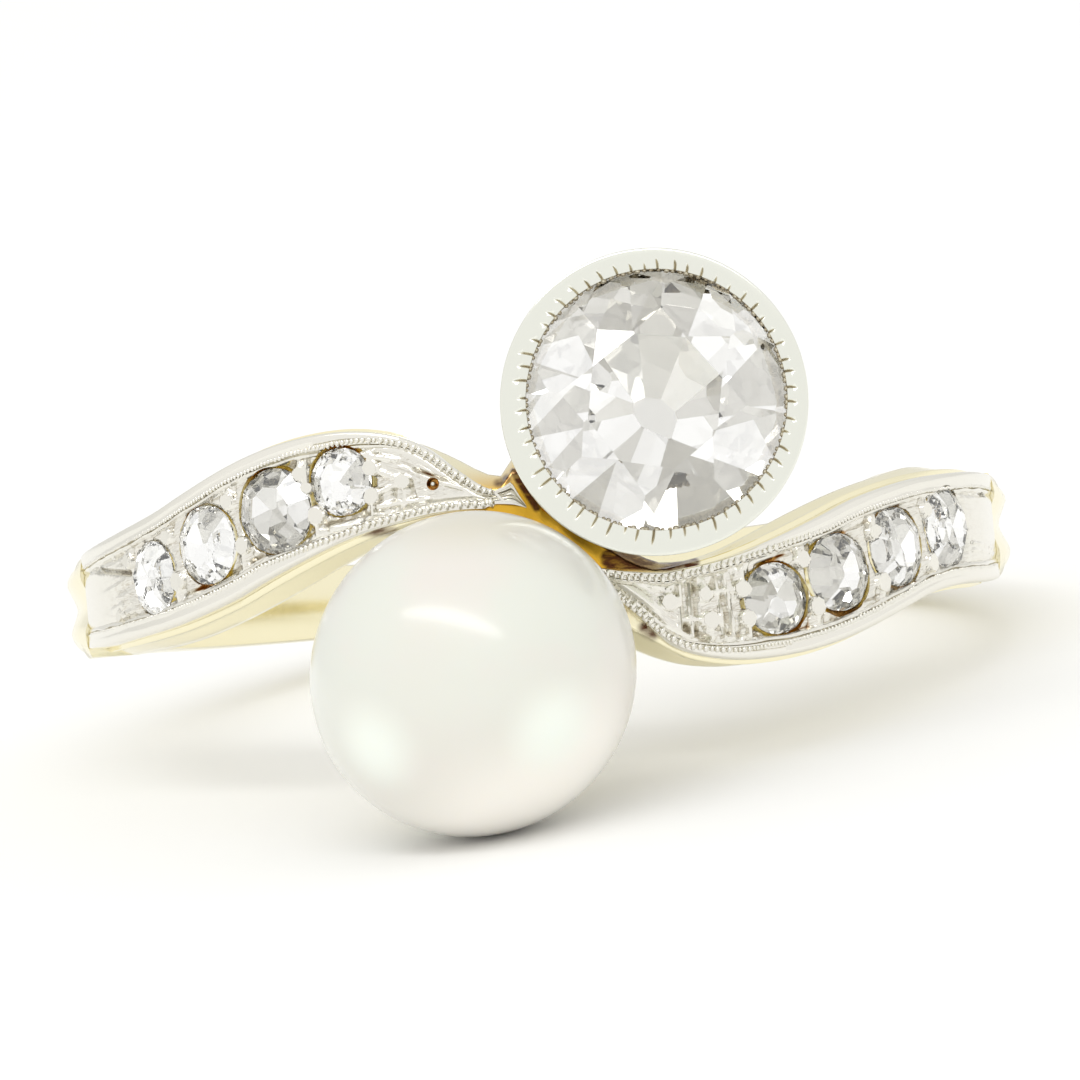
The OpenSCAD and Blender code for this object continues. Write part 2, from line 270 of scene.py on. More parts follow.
def editing(piece):
    """Goes into edit mode on a piece, with nothing selected, and returns its mesh."""
    only(piece)
    bpy.ops.object.mode_set(mode="EDIT")
    bpy.ops.mesh.select_mode(type="VERT")
    bpy.ops.mesh.select_all(action="DESELECT")
    return bmesh.from_edit_mesh(piece.data)


MERGE_WITHIN = 0.0005


def close_up(piece):
    """Merges doubled corners, points the faces outwards and leaves edit mode."""
    editing(piece)
    bpy.ops.mesh.select_all(action="SELECT")
    bpy.ops.mesh.remove_doubles(threshold=MERGE_WITHIN)
    bpy.ops.mesh.normals_make_consistent(inside=False)
    bpy.ops.object.mode_set(mode="OBJECT")


def shift_corners(mesh, ring, points):
    """Moves each corner of a ring to its point."""
    bpy.ops.mesh.select_all(action="DESELECT")
    for index, point in zip(ring, points):
        corner = mesh.verts[index]
        corner.select_set(True)
        bpy.ops.transform.translate(value=point - corner.co)
        corner.select_set(False)


def loft(name, sections, ends="capped"):
    """Shapes a circle into the first section and extrudes it through the rest. Ends are capped or joined."""
    fill = "NGON" if ends == "capped" else "NOTHING"
    bpy.ops.mesh.primitive_circle_add(vertices=len(sections[0]), fill_type=fill)
    piece = named(name)
    mesh = editing(piece)
    mesh.verts.ensure_lookup_table()
    ring = list(range(len(sections[0])))
    shift_corners(mesh, ring, sections[0])
    for section in sections[1:] + (sections[:1] if ends == "joined" else []):
        for index in ring:
            mesh.verts[index].select_set(True)
        mesh.select_flush(True)
        bpy.ops.mesh.extrude_region_move()
        mesh.verts.ensure_lookup_table()
        ring = [
            next(e.other_vert(mesh.verts[i]).index for e in mesh.verts[i].link_edges
                 if e.other_vert(mesh.verts[i]).select)
            for i in ring
        ]
        shift_corners(mesh, ring, section)
    close_up(piece)
    return piece


def turned(name, profile, sides):
    """Shape turned about Z: a disc extruded and resized through pairs of radius and height."""
    radius, height = profile[0]
    bpy.ops.mesh.primitive_circle_add(vertices=sides, radius=radius, fill_type="NGON")
    piece = named(name)
    editing(piece)
    bpy.ops.mesh.select_all(action="SELECT")
    bpy.ops.transform.translate(value=(0, 0, height))
    for next_radius, next_height in profile[1:]:
        bpy.ops.mesh.extrude_region_move(TRANSFORM_OT_translate={"value": (0, 0, next_height - height)})
        scale = next_radius / radius
        bpy.ops.transform.resize(value=(scale, scale, 1), center_override=(0, 0, next_height))
        radius, height = next_radius, next_height
    close_up(piece)
    return piece


def put(piece, place):
    """Moves a piece's mesh to its place, with the object left at the origin."""
    only(piece)
    piece.matrix_world = place @ piece.matrix_world
    bpy.ops.object.transform_apply(location=True, rotation=True, scale=True)
    return piece


def repeat(model, places):
    """Copies a model to each place, each copy with its own mesh, and joins the copies."""
    copies = []
    for place in places:
        copy = model.copy()
        copy.data = model.data.copy()
        copy.data.transform(place)
        bpy.context.scene.collection.objects.link(copy)
        copies.append(copy)
    name = model.name
    bpy.data.objects.remove(model)
    only(*copies)
    bpy.ops.object.join()
    return named(name)


def join(piece, *others):
    only(piece, *others)
    bpy.ops.object.join()
    return piece


def apply(piece, modifier):
    only(piece)
    bpy.ops.object.modifier_apply(modifier=modifier.name)


def carve(piece, operation, *others):
    """Unites a piece with others, or cuts them out of it."""
    for other in others:
        modifier = piece.modifiers.new("carve", "BOOLEAN")
        modifier.operation = operation
        modifier.solver = "EXACT"
        modifier.object = other
        apply(piece, modifier)
        bpy.data.objects.remove(other)
    return piece


# Angles past which an edge stays sharp.
METAL_CREASE, FACING_CREASE, PEARL_CREASE = 35, 50, 60


def smooth(piece, crease):
    """Shades a piece smooth, apart from edges that are sharper than an angle."""
    only(piece)
    bpy.ops.object.shade_smooth_by_angle(angle=math.radians(crease))


def side_of(point):
    """The shoulder that a point is on, and its place along the finger as on the right shoulder."""
    return ("left", -point.y) if point.x < 0 else ("right", point.y)


def shoulder_angle(point):
    return math.degrees(math.atan2(abs(point.x), point.z))


def arc_at(point):
    """Distance of a point from the middle of the head, round the hoop."""
    return math.radians(shoulder_angle(point)) * (FINGER_R + LIMB_T)


def depth_at(point):
    """How far a point lies under the surface of the shoulders."""
    return max(top_radius(shoulder_angle(point)) - math.hypot(point.x, point.z), 0)


def inset_at(point):
    """How far a point lies in from the nearer edge of its facing."""
    side, along = side_of(point)
    low, high = facing_edges(side, shoulder_angle(point))
    return max(min(along - low, high - along), 0)


def mark(piece, name, measure):
    """Records a measure of each corner in the piece's mesh, for its material to read."""
    values = piece.data.attributes.new(name, "FLOAT", "POINT").data
    for corner, value in zip(piece.data.vertices, values):
        value.value = measure(corner.co)


def finish_piece(piece, material, slot, *nodes):
    """Lays a piece down, gives it its material and hides the CAD nodes that it stands for."""
    put(piece, LYING @ Matrix.Scale(MM, 4))
    piece.data.materials.clear()
    piece.data.materials.append(material)
    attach(piece, "root")
    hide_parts(*nodes)


class Signal:
    """An output of a material's nodes that takes part in arithmetic."""

    def __init__(self, paint, socket):
        self.paint = paint
        self.socket = socket

    def __add__(self, other):
        return self.paint.maths("ADD", self, other)

    def __sub__(self, other):
        return self.paint.maths("SUBTRACT", self, other)

    def __rsub__(self, other):
        return self.paint.maths("SUBTRACT", other, self)

    def __mul__(self, other):
        return self.paint.maths("MULTIPLY", self, other)

    __radd__ = __add__
    __rmul__ = __mul__


# Streaks of dirt and painted shade are measured across the head, and hardly by their height.
FLAT = (1.0, 1.0, 0.2)
# Sockets of the Mix node for colours.
FACTOR, FIRST, SECOND, MIXED = 0, 6, 7, 2
WHITE = (1.0, 1.0, 1.0, 1.0)


class Paint:
    """A material or a world under construction."""

    def __init__(self, material, shader):
        self.material = material
        self.material.use_nodes = True
        self.nodes = self.material.node_tree.nodes
        self.shader = self.nodes[shader]

    @classmethod
    def of_material(cls, name):
        """A material, whose positions are in millimetres, in the ring's own frame."""
        paint = cls(bpy.data.materials.new(name), "Principled BSDF")
        place = paint.node("ShaderNodeTexCoord", output="Object")
        inputs = {"Vector": place, "Rotation": LYING.inverted().to_euler(), "Scale": (1 / MM,) * 3}
        paint.position = paint.node("ShaderNodeMapping", None, inputs)
        return paint

    def feed(self, socket, value):
        if isinstance(value, Signal):
            self.material.node_tree.links.new(value.socket, socket)
        else:
            socket.default_value = value

    def node(self, kind, settings=None, inputs=None, output=0):
        """Adds a node, sets it up, feeds its sockets and returns one of its outputs."""
        node = self.nodes.new(kind)
        for setting, value in (settings or {}).items():
            setattr(node, setting, value)
        for key, value in (inputs or {}).items():
            self.feed(node.inputs[key], value)
        return Signal(self, node.outputs[output])

    def attribute(self, name):
        """A measure that the mesh holds."""
        return self.node("ShaderNodeAttribute", {"attribute_name": name}, output="Fac")

    def maths(self, operation, a, b):
        return self.node("ShaderNodeMath", {"operation": operation, "use_clamp": False}, {0: a, 1: b})

    def blend(self, factor, a, b):
        """Mixes two colours."""
        settings = {"data_type": "RGBA"}
        return self.node("ShaderNodeMix", settings, {FACTOR: factor, FIRST: a, SECOND: b}, output=MIXED)

    def vector(self, operation, inputs, output=0):
        return self.node("ShaderNodeVectorMath", {"operation": operation}, inputs, output)

    def stretched(self, place, by):
        return self.vector("MULTIPLY", {0: place, 1: by})

    def noise(self, scale, detail=2.0, stretch=(1.0, 1.0, 1.0), place=None):
        """Noise whose features are about 1 / scale millimetres wide."""
        place = self.stretched(place or self.position, stretch)
        return self.node("ShaderNodeTexNoise", None, {"Vector": place, "Scale": scale, "Detail": detail})

    def cells(self, place, stretch):
        """A value for each of the cells that a surface is divided into."""
        inputs = {"Vector": self.stretched(place, stretch)}
        return self.node("ShaderNodeTexVoronoi", None, inputs, output="Color")

    def spot(self, centre, full, none, stretch=(1.0, 1.0, 1.0)):
        """A soft spot round a place: 1 within one distance of it, and 0 beyond another."""
        here = self.stretched(self.position, stretch)
        there = [c * s for c, s in zip(centre, stretch)]
        far = self.vector("DISTANCE", {0: here, 1: there}, "Value")
        return self.step(far, none, full)

    def streak(self, start, end, full, none):
        """A soft streak between two places: 1 within one distance of it, and 0 beyond another."""
        begin, run = Vector(start) * Vector(FLAT), (Vector(end) - Vector(start)) * Vector(FLAT)
        here = self.stretched(self.position, FLAT)
        away = self.vector("SUBTRACT", {0: here, 1: begin})
        share = self.vector("DOT_PRODUCT", {0: away, 1: run / run.length_squared}, "Value")
        share = self.maths("MINIMUM", self.maths("MAXIMUM", share, 0.0), 1.0)
        nearest = self.vector("SCALE", {0: run, "Scale": share})
        far = self.vector("DISTANCE", {0: away, 1: nearest}, "Value")
        return self.step(far, none, full)

    def near(self, value, level, width):
        """1 where a value is at a level, falling to 0 at a distance from it."""
        return self.step(self.maths("ABSOLUTE", value - level, 0.0), width, 0.0)

    def step(self, value, low, high):
        """Share of the way that a value is from low to high."""
        settings = {"interpolation_type": "SMOOTHSTEP"}
        return self.node("ShaderNodeMapRange", settings, {0: value, 1: low, 2: high})

    def bump(self, height, strength, distance):
        """Bump whose height is in millimetres."""
        inputs = {"Height": height, "Strength": strength, "Distance": distance * MM}
        return self.node("ShaderNodeBump", None, inputs)

    def finish(self, **sockets):
        """Sets the shader's sockets, with underscores for the spaces in their names."""
        for name, value in sockets.items():
            self.feed(self.shader.inputs[name.replace("_", " ")], value)
        return self.material


def rgba(colour):
    return (*colour[:3], 1.0)


def shaded(colour, share):
    return rgba([c * share for c in colour])


# The engraving, with the painted shade of its lines and facets, is drawn inside the borders, and fades along
# the last stretch of a facing.
INSIDE_BORDER, UNDER_BORDER, FADING, FADED_SHARE = (0.3, 0.42), (0.015, 0.05), (9.9, 10.9), 0.7
# Sizes of the white metal's noises, and how much they are stretched along an edge and across it.
CLOUD_SCALE, POLISH_SCALE, CUTS_SCALE, HAIRS_SCALE = 1.3, 9.0, 1.0, 2.0
FACETS_STRETCH, CUTS_STRETCH, HAIRS_STRETCH = (2.2, 6.0, 1.0), (1.6, 9.0, 1.0), (2.0, 14.0, 1.0)
# Level of the noise that a line follows, half its width, and the strength of its painted shade.
CUT_LINES, HAIR_LINES = (0.5, 0.03, 0.6), (0.45, 0.02, 0.5)
# Depths between which dirt with painted shade, the lip's colour and the seats' colour come in.
SOIL_AND_SHADE_DEPTH, SOIL_AND_SHADE_END, SOIL_AND_SHADE_WANDER, SOIL_AND_SHADE_SHARE = (0.11, 0.18), (0.22, 0.18), 0.04, 0.6
LIP_SHOWS, NOTCH_SHOWS, SEAT_SHOWS = (0.003, 0.02), (0.03, 0.08), (0.12, 0.16)
WHITE_METAL_BUMP = 0.5, 0.03


def platinum(colours, tint):
    """White metal: polished, with cut facets and lines in painted shade inside the borders, browner where it
    lies deep from dirt and painted shade.
    """
    paint = Paint.of_material("platinum")
    marks = ("depth", "inset", "arc", "lip", "dirt")
    depth, inset, arc, lip, dirt = (paint.attribute(name) for name in marks)
    along_edge = paint.node("ShaderNodeCombineXYZ", None, {0: arc, 1: inset})
    cloud = paint.noise(CLOUD_SCALE)
    facets = paint.cells(along_edge, FACETS_STRETCH)
    cuts = paint.noise(CUTS_SCALE, 3.0, CUTS_STRETCH, along_edge)
    hairs = paint.noise(HAIRS_SCALE, 3.0, HAIRS_STRETCH, along_edge)
    inside = paint.step(inset, *INSIDE_BORDER) * paint.step(depth, *UNDER_BORDER)
    inside = inside * (1.0 - paint.step(arc, *FADING) * FADED_SHARE)
    engraved, fine = (
        paint.near(lines, level, width) * inside * strength
        for lines, (level, width, strength) in ((cuts, CUT_LINES), (hairs, HAIR_LINES))
    )
    # Dirt and painted shade: browner where the metal lies deep.
    soil_and_shade = paint.step(depth * inside + (cloud - 0.5) * SOIL_AND_SHADE_WANDER, *SOIL_AND_SHADE_DEPTH)
    soil_and_shade = soil_and_shade * paint.step(depth, *SOIL_AND_SHADE_END)
    edge, notch = paint.step(lip, *LIP_SHOWS), paint.step(lip, *NOTCH_SHOWS)
    colour = paint.blend(cloud * 0.3, rgba(tint), shaded(tint, 0.95))
    for share, over in (
        # Cut facets: some cells in a darker copy of the metal, as painted shade of facets turned from the
        # light.
        (paint.step(facets, 0.3, 0.7) * inside * 0.4, shaded(tint, 0.8)),
        # Engraved lines painted dark, as painted shade in the cuts.
        (engraved + fine, colours.platinum_deep),
        # Dirt with painted shade deep in the bed.
        (soil_and_shade * SOIL_AND_SHADE_SHARE, colours.platinum_deep),
        (edge, colours.lip),
        (notch, colours.notch),
        (paint.step(depth, *SEAT_SHOWS) * dirt, colours.seat),
    ):
        colour = paint.blend(share, colour, rgba(over))
    polish = paint.noise(POLISH_SCALE, 4.0)
    return paint.finish(
        Base_Color=colour,
        Metallic=1.0,
        Roughness=0.12 + polish * 0.08 + soil_and_shade * 0.1 + edge * 0.45,
        Normal=paint.bump(polish * 0.1 + cuts * inside, *WHITE_METAL_BUMP),
    )


# Streaks of old dirt on the gold, the first one painted shade under the collet's edge: places of both ends,
# and reach of the full and the faint part.
GOLD_DIRT_AND_SHADE = (
    ((1.30, -0.40, 10.1), (2.85, -0.58, 9.8), 0.17, 0.27),
    ((1.85, -1.85, 10.0), (2.00, -1.95, 10.0), 0.03, 0.22),
    ((-3.00, 0.55, 10.0), (-3.75, 0.66, 9.6), 0.03, 0.16),
    ((-0.50, 1.54, 10.2), (-0.10, 0.76, 10.2), 0.05, 0.12),
    ((-0.66, 1.42, 10.2), (-0.82, 1.36, 10.2), 0.05, 0.16),
)
# Painted shade and painted gold-on-gold reflection where the gold is enclosed between the heads: middle,
# reach of the full and the faint part, and stretch.
SHADED_BETWEEN_HEADS = (0.1, 0.1, 10.2), 1.0, 2.2, (0.7, 1.0, 1.3)
WEAR_LINES, DIRT_AND_SHADE_CRUMBS = (7.0, 4.0, (1.0, 1.0, 5.0)), (3.0, 3.0, (1.0, 3.0, 1.0))


def yellow_gold(colours):
    """Polished gold with fine wear, deeper in colour between the two heads from painted shade and painted
    gold-on-gold reflection, with old dirt beside them and painted shade under the collet's edge.
    """
    paint = Paint.of_material("yellow_gold")
    cloud = paint.noise(0.8)
    lines = paint.noise(*WEAR_LINES)
    colour = paint.blend(cloud * 0.4, rgba(colours.gold), rgba(colours.gold_worn))
    # Painted shade and painted reflection of gold on gold between the heads.
    colour = paint.blend(paint.spot(*SHADED_BETWEEN_HEADS), colour, rgba(colours.gold_shade_between_heads))
    streaks = paint.step(paint.noise(*DIRT_AND_SHADE_CRUMBS), 0.3, 0.55)
    # Old dirt beside the heads, and painted shade under the collet's edge, in streaks.
    for start, end, full, none in GOLD_DIRT_AND_SHADE:
        dirt = paint.streak(start, end, full, none) * (streaks * 0.3 + 0.7)
        colour = paint.blend(dirt, colour, rgba(colours.dirt))
    return paint.finish(
        Base_Color=colour,
        Metallic=1.0,
        Roughness=0.1 + lines * 0.1,
        Normal=paint.bump(lines, 0.12, 0.01),
    )


DIAMOND_IOR = 2.417
# Painted shade of the back facets: tones of a back facet between which it goes from the darkest to white.
BACK_FACET_SHADES = 0.15, 0.55


def diamond(colours):
    """Diamond, clear, but like a mirror where its back facets are marked as foil, each back facet with
    painted shade between grey and white.
    """
    paint = Paint.of_material("diamond")
    foil, tone = paint.attribute("foil"), paint.attribute("tone")
    cloud = paint.noise(0.6)
    clear = paint.blend(cloud, rgba(colours.diamond), WHITE)
    back = paint.blend(paint.step(tone, *BACK_FACET_SHADES), rgba(colours.foil), WHITE)
    return paint.finish(
        Base_Color=paint.blend(foil, clear, back),
        Metallic=foil,
        Roughness=0.0,
        IOR=DIAMOND_IOR,
        Transmission_Weight=1.0,
    )


# Patches of painted light on the nacre: painted highlights, painted light on its lower edge and painted shade
# on its upper edge. For each: direction from the pearl's middle, reach of their full and faint part, and
# colour.
PEARL_PAINTED_LIGHT = (
    ((0.20, -0.92, 0.34), 0.8, 2.8, "pearl_rim"),
    ((0.62, -0.62, 0.48), 0.4, 2.2, "pearl_rim"),
    ((0.05, 0.95, 0.30), 0.4, 2.0, "pearl_shade"),
    ((-0.65, -0.42, 0.63), 0.1, 1.3, "pearl_light"),
    ((0.45, -0.42, 0.79), 0.1, 1.3, "pearl_light"),
)


# How deep light goes into the nacre, in millimetres, the sizes of its noises, and the levels between which
# the overtones come in.
NACRE_DEPTH, BROAD_SCALE, FINE_SCALE, GRAIN_SCALE = 0.8, 0.22, 0.5, 12.0
GREEN_LEVELS, PINK_LEVELS, PINK_SHARE = (0.4, 0.65), (0.5, 0.75), 0.6


def pearl(colours):
    """Nacre: cream with faint pink and green patches under a clear coat, and patches of painted highlight,
    painted light and painted shade.
    """
    paint = Paint.of_material("pearl")
    broad = paint.noise(BROAD_SCALE, 1.0)
    fine = paint.noise(FINE_SCALE, 2.0)
    grain = paint.noise(GRAIN_SCALE, 2.0)
    colour = paint.blend(paint.step(broad, *GREEN_LEVELS), rgba(colours.pearl), rgba(colours.pearl_green))
    colour = paint.blend(paint.step(fine, *PINK_LEVELS) * PINK_SHARE, colour, rgba(colours.pearl_pink))
    # Painted highlights, painted light on the lower edge and painted shade on the upper edge, in patches.
    for facing, full, none, tint in PEARL_PAINTED_LIGHT:
        patch = paint.spot(PEARL_CENTRE + Vector(facing).normalized() * PEARL_R, full, none)
        colour = paint.blend(patch, colour, rgba(getattr(colours, tint)))
    return paint.finish(
        Base_Color=colour,
        Roughness=0.32 + grain * 0.06,
        Subsurface_Weight=0.25,
        Subsurface_Radius=(1.0, 0.9, 0.7),
        Subsurface_Scale=NACRE_DEPTH * MM,
        Coat_Weight=0.8,
        Coat_Roughness=0.16,
        Coat_IOR=1.6,
        Normal=paint.bump(grain, 0.05, 0.01),
    )


def table_top(colour):
    paint = Paint.of_material("table_top")
    return paint.finish(Base_Color=rgba(colour), Roughness=0.9, Specular_IOR_Level=0.2)


def length(name, default, description):
    """A size in the panel. Its default is given in millimetres."""
    return bpy.props.FloatProperty(
        name=name, description=description, default=default * MM, precision=5, unit="LENGTH"
    )


def colour(name, default, description):
    return bpy.props.FloatVectorProperty(
        name=name, description=description, default=default, subtype="COLOR", size=3, min=0.0, max=1.0
    )


class RingColours(bpy.types.PropertyGroup):
    gold: colour("Gold", (0.92, 0.865, 0.635), "Colour of the polished gold")
    gold_worn: colour("Worn gold", (0.89, 0.81, 0.54), "Colour of the gold where it is worn")
    # Painted shade and painted gold-on-gold reflection between the two heads.
    gold_shade_between_heads: colour("Enclosed gold", (0.74, 0.43, 0.045), "Colour of the gold between the two heads")
    # Also the colour of the painted shade under the collet's edge.
    dirt: colour("Dirt", (0.085, 0.03, 0.013), "Colour of the old dirt beside the heads")
    collet: colour("Collet", (0.83, 0.84, 0.77), "Colour of the collet's white metal")
    facing: colour("Facings", (0.85, 0.83, 0.765), "Colour of the facings' white metal")
    # Painted shade in the cuts and hollows, with the dirt that lies there.
    platinum_deep: colour("Deep platinum", (0.53, 0.48, 0.39), "Colour of the white metal in its cuts")
    lip: colour("Lip", (0.66, 0.62, 0.50), "Colour of the collet's inner edge")
    notch: colour("Notches", (0.58, 0.50, 0.36), "Colour of the notches in the collet's inner edge")
    seat: colour("Seats", (0.34, 0.17, 0.04), "Colour of the seats' walls")
    diamond: colour("Diamond", (0.97, 0.97, 0.96), "Tint of the diamonds")
    # The darkest painted shade of the back facets.
    foil: colour("Back facets", (0.66, 0.65, 0.61), "Colour of the darkest back facets of the diamonds")
    pearl: colour("Pearl", (0.74, 0.72, 0.66), "Body colour of the pearl")
    pearl_green: colour("Pearl, green", (0.73, 0.745, 0.68), "Greenish overtone of the pearl")
    # Painted highlights on the pearl.
    pearl_light: colour("Pearl, light", (0.86, 0.90, 0.83), "Lightest patches of the pearl")
    # Painted light on the lower edge of the pearl.
    pearl_rim: colour("Pearl, rim", (0.90, 0.87, 0.81), "Lower edge of the pearl")
    # Painted shade, with painted reflection of the gold, on the upper edge of the pearl.
    pearl_shade: colour("Pearl, shade", (0.68, 0.65, 0.55), "Upper edge of the pearl")
    pearl_pink: colour("Pearl, pink", (0.76, 0.71, 0.67), "Pinkish overtone of the pearl")


class RingSizes(bpy.types.PropertyGroup):
    bed: length("Bed depth", 0.13, "Depth of the bed between the borders")
    bead_pitch: length("Milgrain pitch", 0.1, "Distance between the beads along a border")
    bead_r: length("Milgrain radius", 0.045, "Radius of a bead")
    grain_r: length("Grain radius", 0.16, "Radius of a grain that holds a stone")
    seat_room: length("Seat room", 0.02, "Room between a small stone and the wall of its seat")
    knurl_depth: length("Notch depth", 0.06, "Depth of a notch in the collet's inner edge")
    knurls: bpy.props.IntProperty(name="Notches", description="Notches round the collet", default=56, min=8)


class RingStage(bpy.types.PropertyGroup):
    table: colour("Table", (0.96, 0.96, 0.95), "Colour of the table")
    air: colour("Surroundings", (1.0, 0.995, 0.98), "Light from all round")
    behind: colour("Behind", (0.84, 0.84, 0.82), "Light from behind the head")
    distance: length("Camera distance", 300, "Distance of the camera from the middle of the finger hole")


def mm(value):
    return value / MM


# Weights of the nearest and the next points in a point halfway along a smooth line.
NEAREST, NEXT = 9 / 16, 1 / 16


def refine(points):
    """Adds a smoothly interpolated point between each two of a line."""
    line = [points[0]]
    for i in range(len(points) - 1):
        a, b = points[max(i - 1, 0)], points[min(i + 2, len(points) - 1)]
        line.append((points[i] + points[i + 1]) * NEAREST - (a + b) * NEXT)
        line.append(points[i + 1])
    return line


INNER_ROUND, INNER_FLAT = 0.03, 0.12


def bored_side(angle, low, high):
    """The side of a section that lies on the finger, with eased edges."""
    flat = min(INNER_FLAT, (high - low) / 4)
    return [
        on_hoop(angle, FINGER_R + flat, low),
        on_hoop(angle, FINGER_R + INNER_ROUND, low + INNER_ROUND),
        on_hoop(angle, FINGER_R, low + flat),
        on_hoop(angle, FINGER_R, (low + high) / 2),
        on_hoop(angle, FINGER_R, high - flat),
        on_hoop(angle, FINGER_R + INNER_ROUND, high - INNER_ROUND),
        on_hoop(angle, FINGER_R + flat, high),
    ]


BEVEL_W, BEVEL_H, BULGE, FLAT_FROM, FLAT_OVER = 0.35, 0.5, 0.6, 8, 6
# How far the gold goes beyond the table's outer edge on each side of the head, and between which angles.
GOLD_WIDER, WIDER_FROM, WIDER_FULL, WIDER_GONE = {"left": -0.10, "right": 0.22}, 2, 8, 28
# On the right its inner edge lies further in. On the left its outer edge curls up to the collet near the tip.
INNER_LESS, LESS_FROM, LESS_FULL, LESS_ALL, LESS_GONE = 0.10, 10, 14, 46, 56
CURL, CURL_FROM, CURL_OVER = 0.65, 5.0, 3.0


def edge_at(angle, upper, radius=None):
    """Place of an edge of the facings, or of the gold's side wall at a radius.

    The walls stand square to the head.
    """
    side = "left" if angle < 0 else "right"
    down = abs(angle)
    inner = upper == (side == "right")
    if radius is None:
        place = read(SHOULDER, FACING_IN if inner else FACING_OUT, down)
    else:
        top = top_radius(down) - FACING_T - GAP
        seen = math.degrees(math.asin(min(radius / top, 1) * math.sin(math.radians(down))))
        column, choose = (GOLD_IN, min) if inner else (GOLD_OUT, max)
        place = choose(read(SHOULDER, column, down), read(SHOULDER, column, seen))
    if radius and not inner:
        rise = eased((down - WIDER_FROM) / (WIDER_FULL - WIDER_FROM))
        fall = eased((WIDER_GONE - down) / (WIDER_GONE - WIDER_FULL))
        place -= GOLD_WIDER[side] * rise * fall
    if radius and side == "left" and not inner:
        place -= CURL * eased((CURL_FROM - down) / CURL_OVER)
    if radius and side == "right" and inner:
        rise = eased((down - LESS_FROM) / (LESS_FULL - LESS_FROM))
        place -= INNER_LESS * rise * eased((LESS_GONE - down) / (LESS_GONE - LESS_ALL))
    if side == "right" and not inner:
        place -= end_widening(side, down)
    if radius and side == "left" and inner:
        place += end_widening(side, down)
    return place if side == "right" else -place


def shoulder_section(angle):
    """Section of the gold under a facing."""
    top = top_radius(angle) - FACING_T - GAP
    foot = top - BEVEL_H
    low, high = edge_at(angle, False, foot), edge_at(angle, True, foot)
    share = (abs(angle) - FLAT_FROM) / FLAT_OVER
    flat_low = mix(low + BEVEL_W, edge_at(angle, False), share)
    flat_high = mix(high - BEVEL_W, edge_at(angle, True), share)
    outside = refine(refine([
        on_hoop(angle, foot, high),
        on_hoop(angle, top - BEVEL_H / 4, mix(high, flat_high, BULGE)),
        on_hoop(angle, top, flat_high),
        on_hoop(angle, top, (flat_low + flat_high) / 2),
        on_hoop(angle, top, flat_low),
        on_hoop(angle, top - BEVEL_H / 4, mix(low, flat_low, BULGE)),
        on_hoop(angle, foot, low),
    ]))
    return bored_side(angle, edge_at(angle, False, FINGER_R), edge_at(angle, True, FINGER_R)) + outside


RIDGE_AT, ROUND_AT, ROUND_SHARE = 0.5, 0.85, 0.65
# Next to the facings the band's edges are as thick as this share of its ridges, up to an angle.
RIM_SHARE, RIM_GONE, RIM_OVER = 0.8, 83, 6


def band_section(angle):
    """Section of the bare band, with a groove between two rounded ridges."""
    down = min(angle, FULL_TURN - angle)
    half = read(BAND, HALF_W, down)
    edge, ridge, groove = (FINGER_R + read(BAND, column, down) for column in (EDGE, RIDGE, GROOVE))
    edge = mix(edge, ridge, RIM_SHARE * eased((RIM_GONE - down) / RIM_OVER))
    side = mix(edge, ridge, ROUND_SHARE)
    wider = end_widening("right" if angle < FULL_TURN / 2 else "left", down)
    outside = refine(refine([
        on_hoop(angle, radius, half * share + wider * min(share, 0))
        for radius, share in (
            (edge, 1), (side, ROUND_AT), (ridge, RIDGE_AT), (groove, 0),
            (ridge, -RIDGE_AT), (side, -ROUND_AT), (edge, -1),
        )
    ]))
    return bored_side(angle, -half - wider, half) + outside


SHOULDER_STEPS, BAND_STEPS, SHOULDER_END, REBATE = 100, 60, 75, 75.25


def bare_hoop():
    """Both shoulders and the band, as one closed loop."""
    sections = [shoulder_section(angle) for angle in evenly(-SHOULDER_END, SHOULDER_END, SHOULDER_STEPS)]
    sections += [band_section(angle) for angle in evenly(REBATE, FULL_TURN - REBATE, BAND_STEPS)]
    return loft("hoop", sections, "joined")


SEAT_BASE, BAR_BASE, BAR_W, BAR_ROUND = FINGER_R - 0.7, FINGER_R - 0.9, 2.0, 0.3
STEM_R, CUP_R, CUP_T, PEG_R, PEG_H = 1.2, 1.75, 0.35, 0.35, 1.9
CUP_EDGE, CUP_WALL_H, BOWL_RADII, PEG_EASE = 0.05, 0.1, (1.5, 1.2, 0.9, 0.6), (0.08, 0.1)
SEAT_EDGE, SEAT_TAPER, SEAT_HOLE_R, SEAT_WALL = 0.05, 0.25, 1.65, 0.55
HEAD_SIDES, BORE_SIDES, BORE_REACH = 72, 240, 20


def head_bar(top):
    """Bar that joins the pearl's cup to the collet's seat."""
    start, end = PEARL_CENTRE.xy, COLLET_CENTRE.xy
    run = end - start
    bpy.ops.mesh.primitive_cube_add(size=1)
    bar = named("bar")
    put(bar, Matrix.Diagonal((run.length, BAR_W, top - BAR_BASE, 1)))
    editing(bar)
    bpy.ops.mesh.select_all(action="SELECT")
    bpy.ops.mesh.bevel(offset=BAR_ROUND, segments=4, affect="EDGES")
    middle = (start + end) / 2
    place = Matrix.Translation((*middle, (top + BAR_BASE) / 2))
    return put(bar, place @ Matrix.Rotation(math.atan2(run.y, run.x), 4, "Z"))


def collet_seat(top):
    foot_r = SEAT_HOLE_R + SEAT_WALL + SEAT_EDGE
    profile = ((foot_r - SEAT_TAPER, SEAT_BASE), (foot_r, top - SEAT_EDGE), (foot_r - SEAT_EDGE, top))
    return put(turned("seat", profile, HEAD_SIDES), head_place(COLLET_CENTRE))


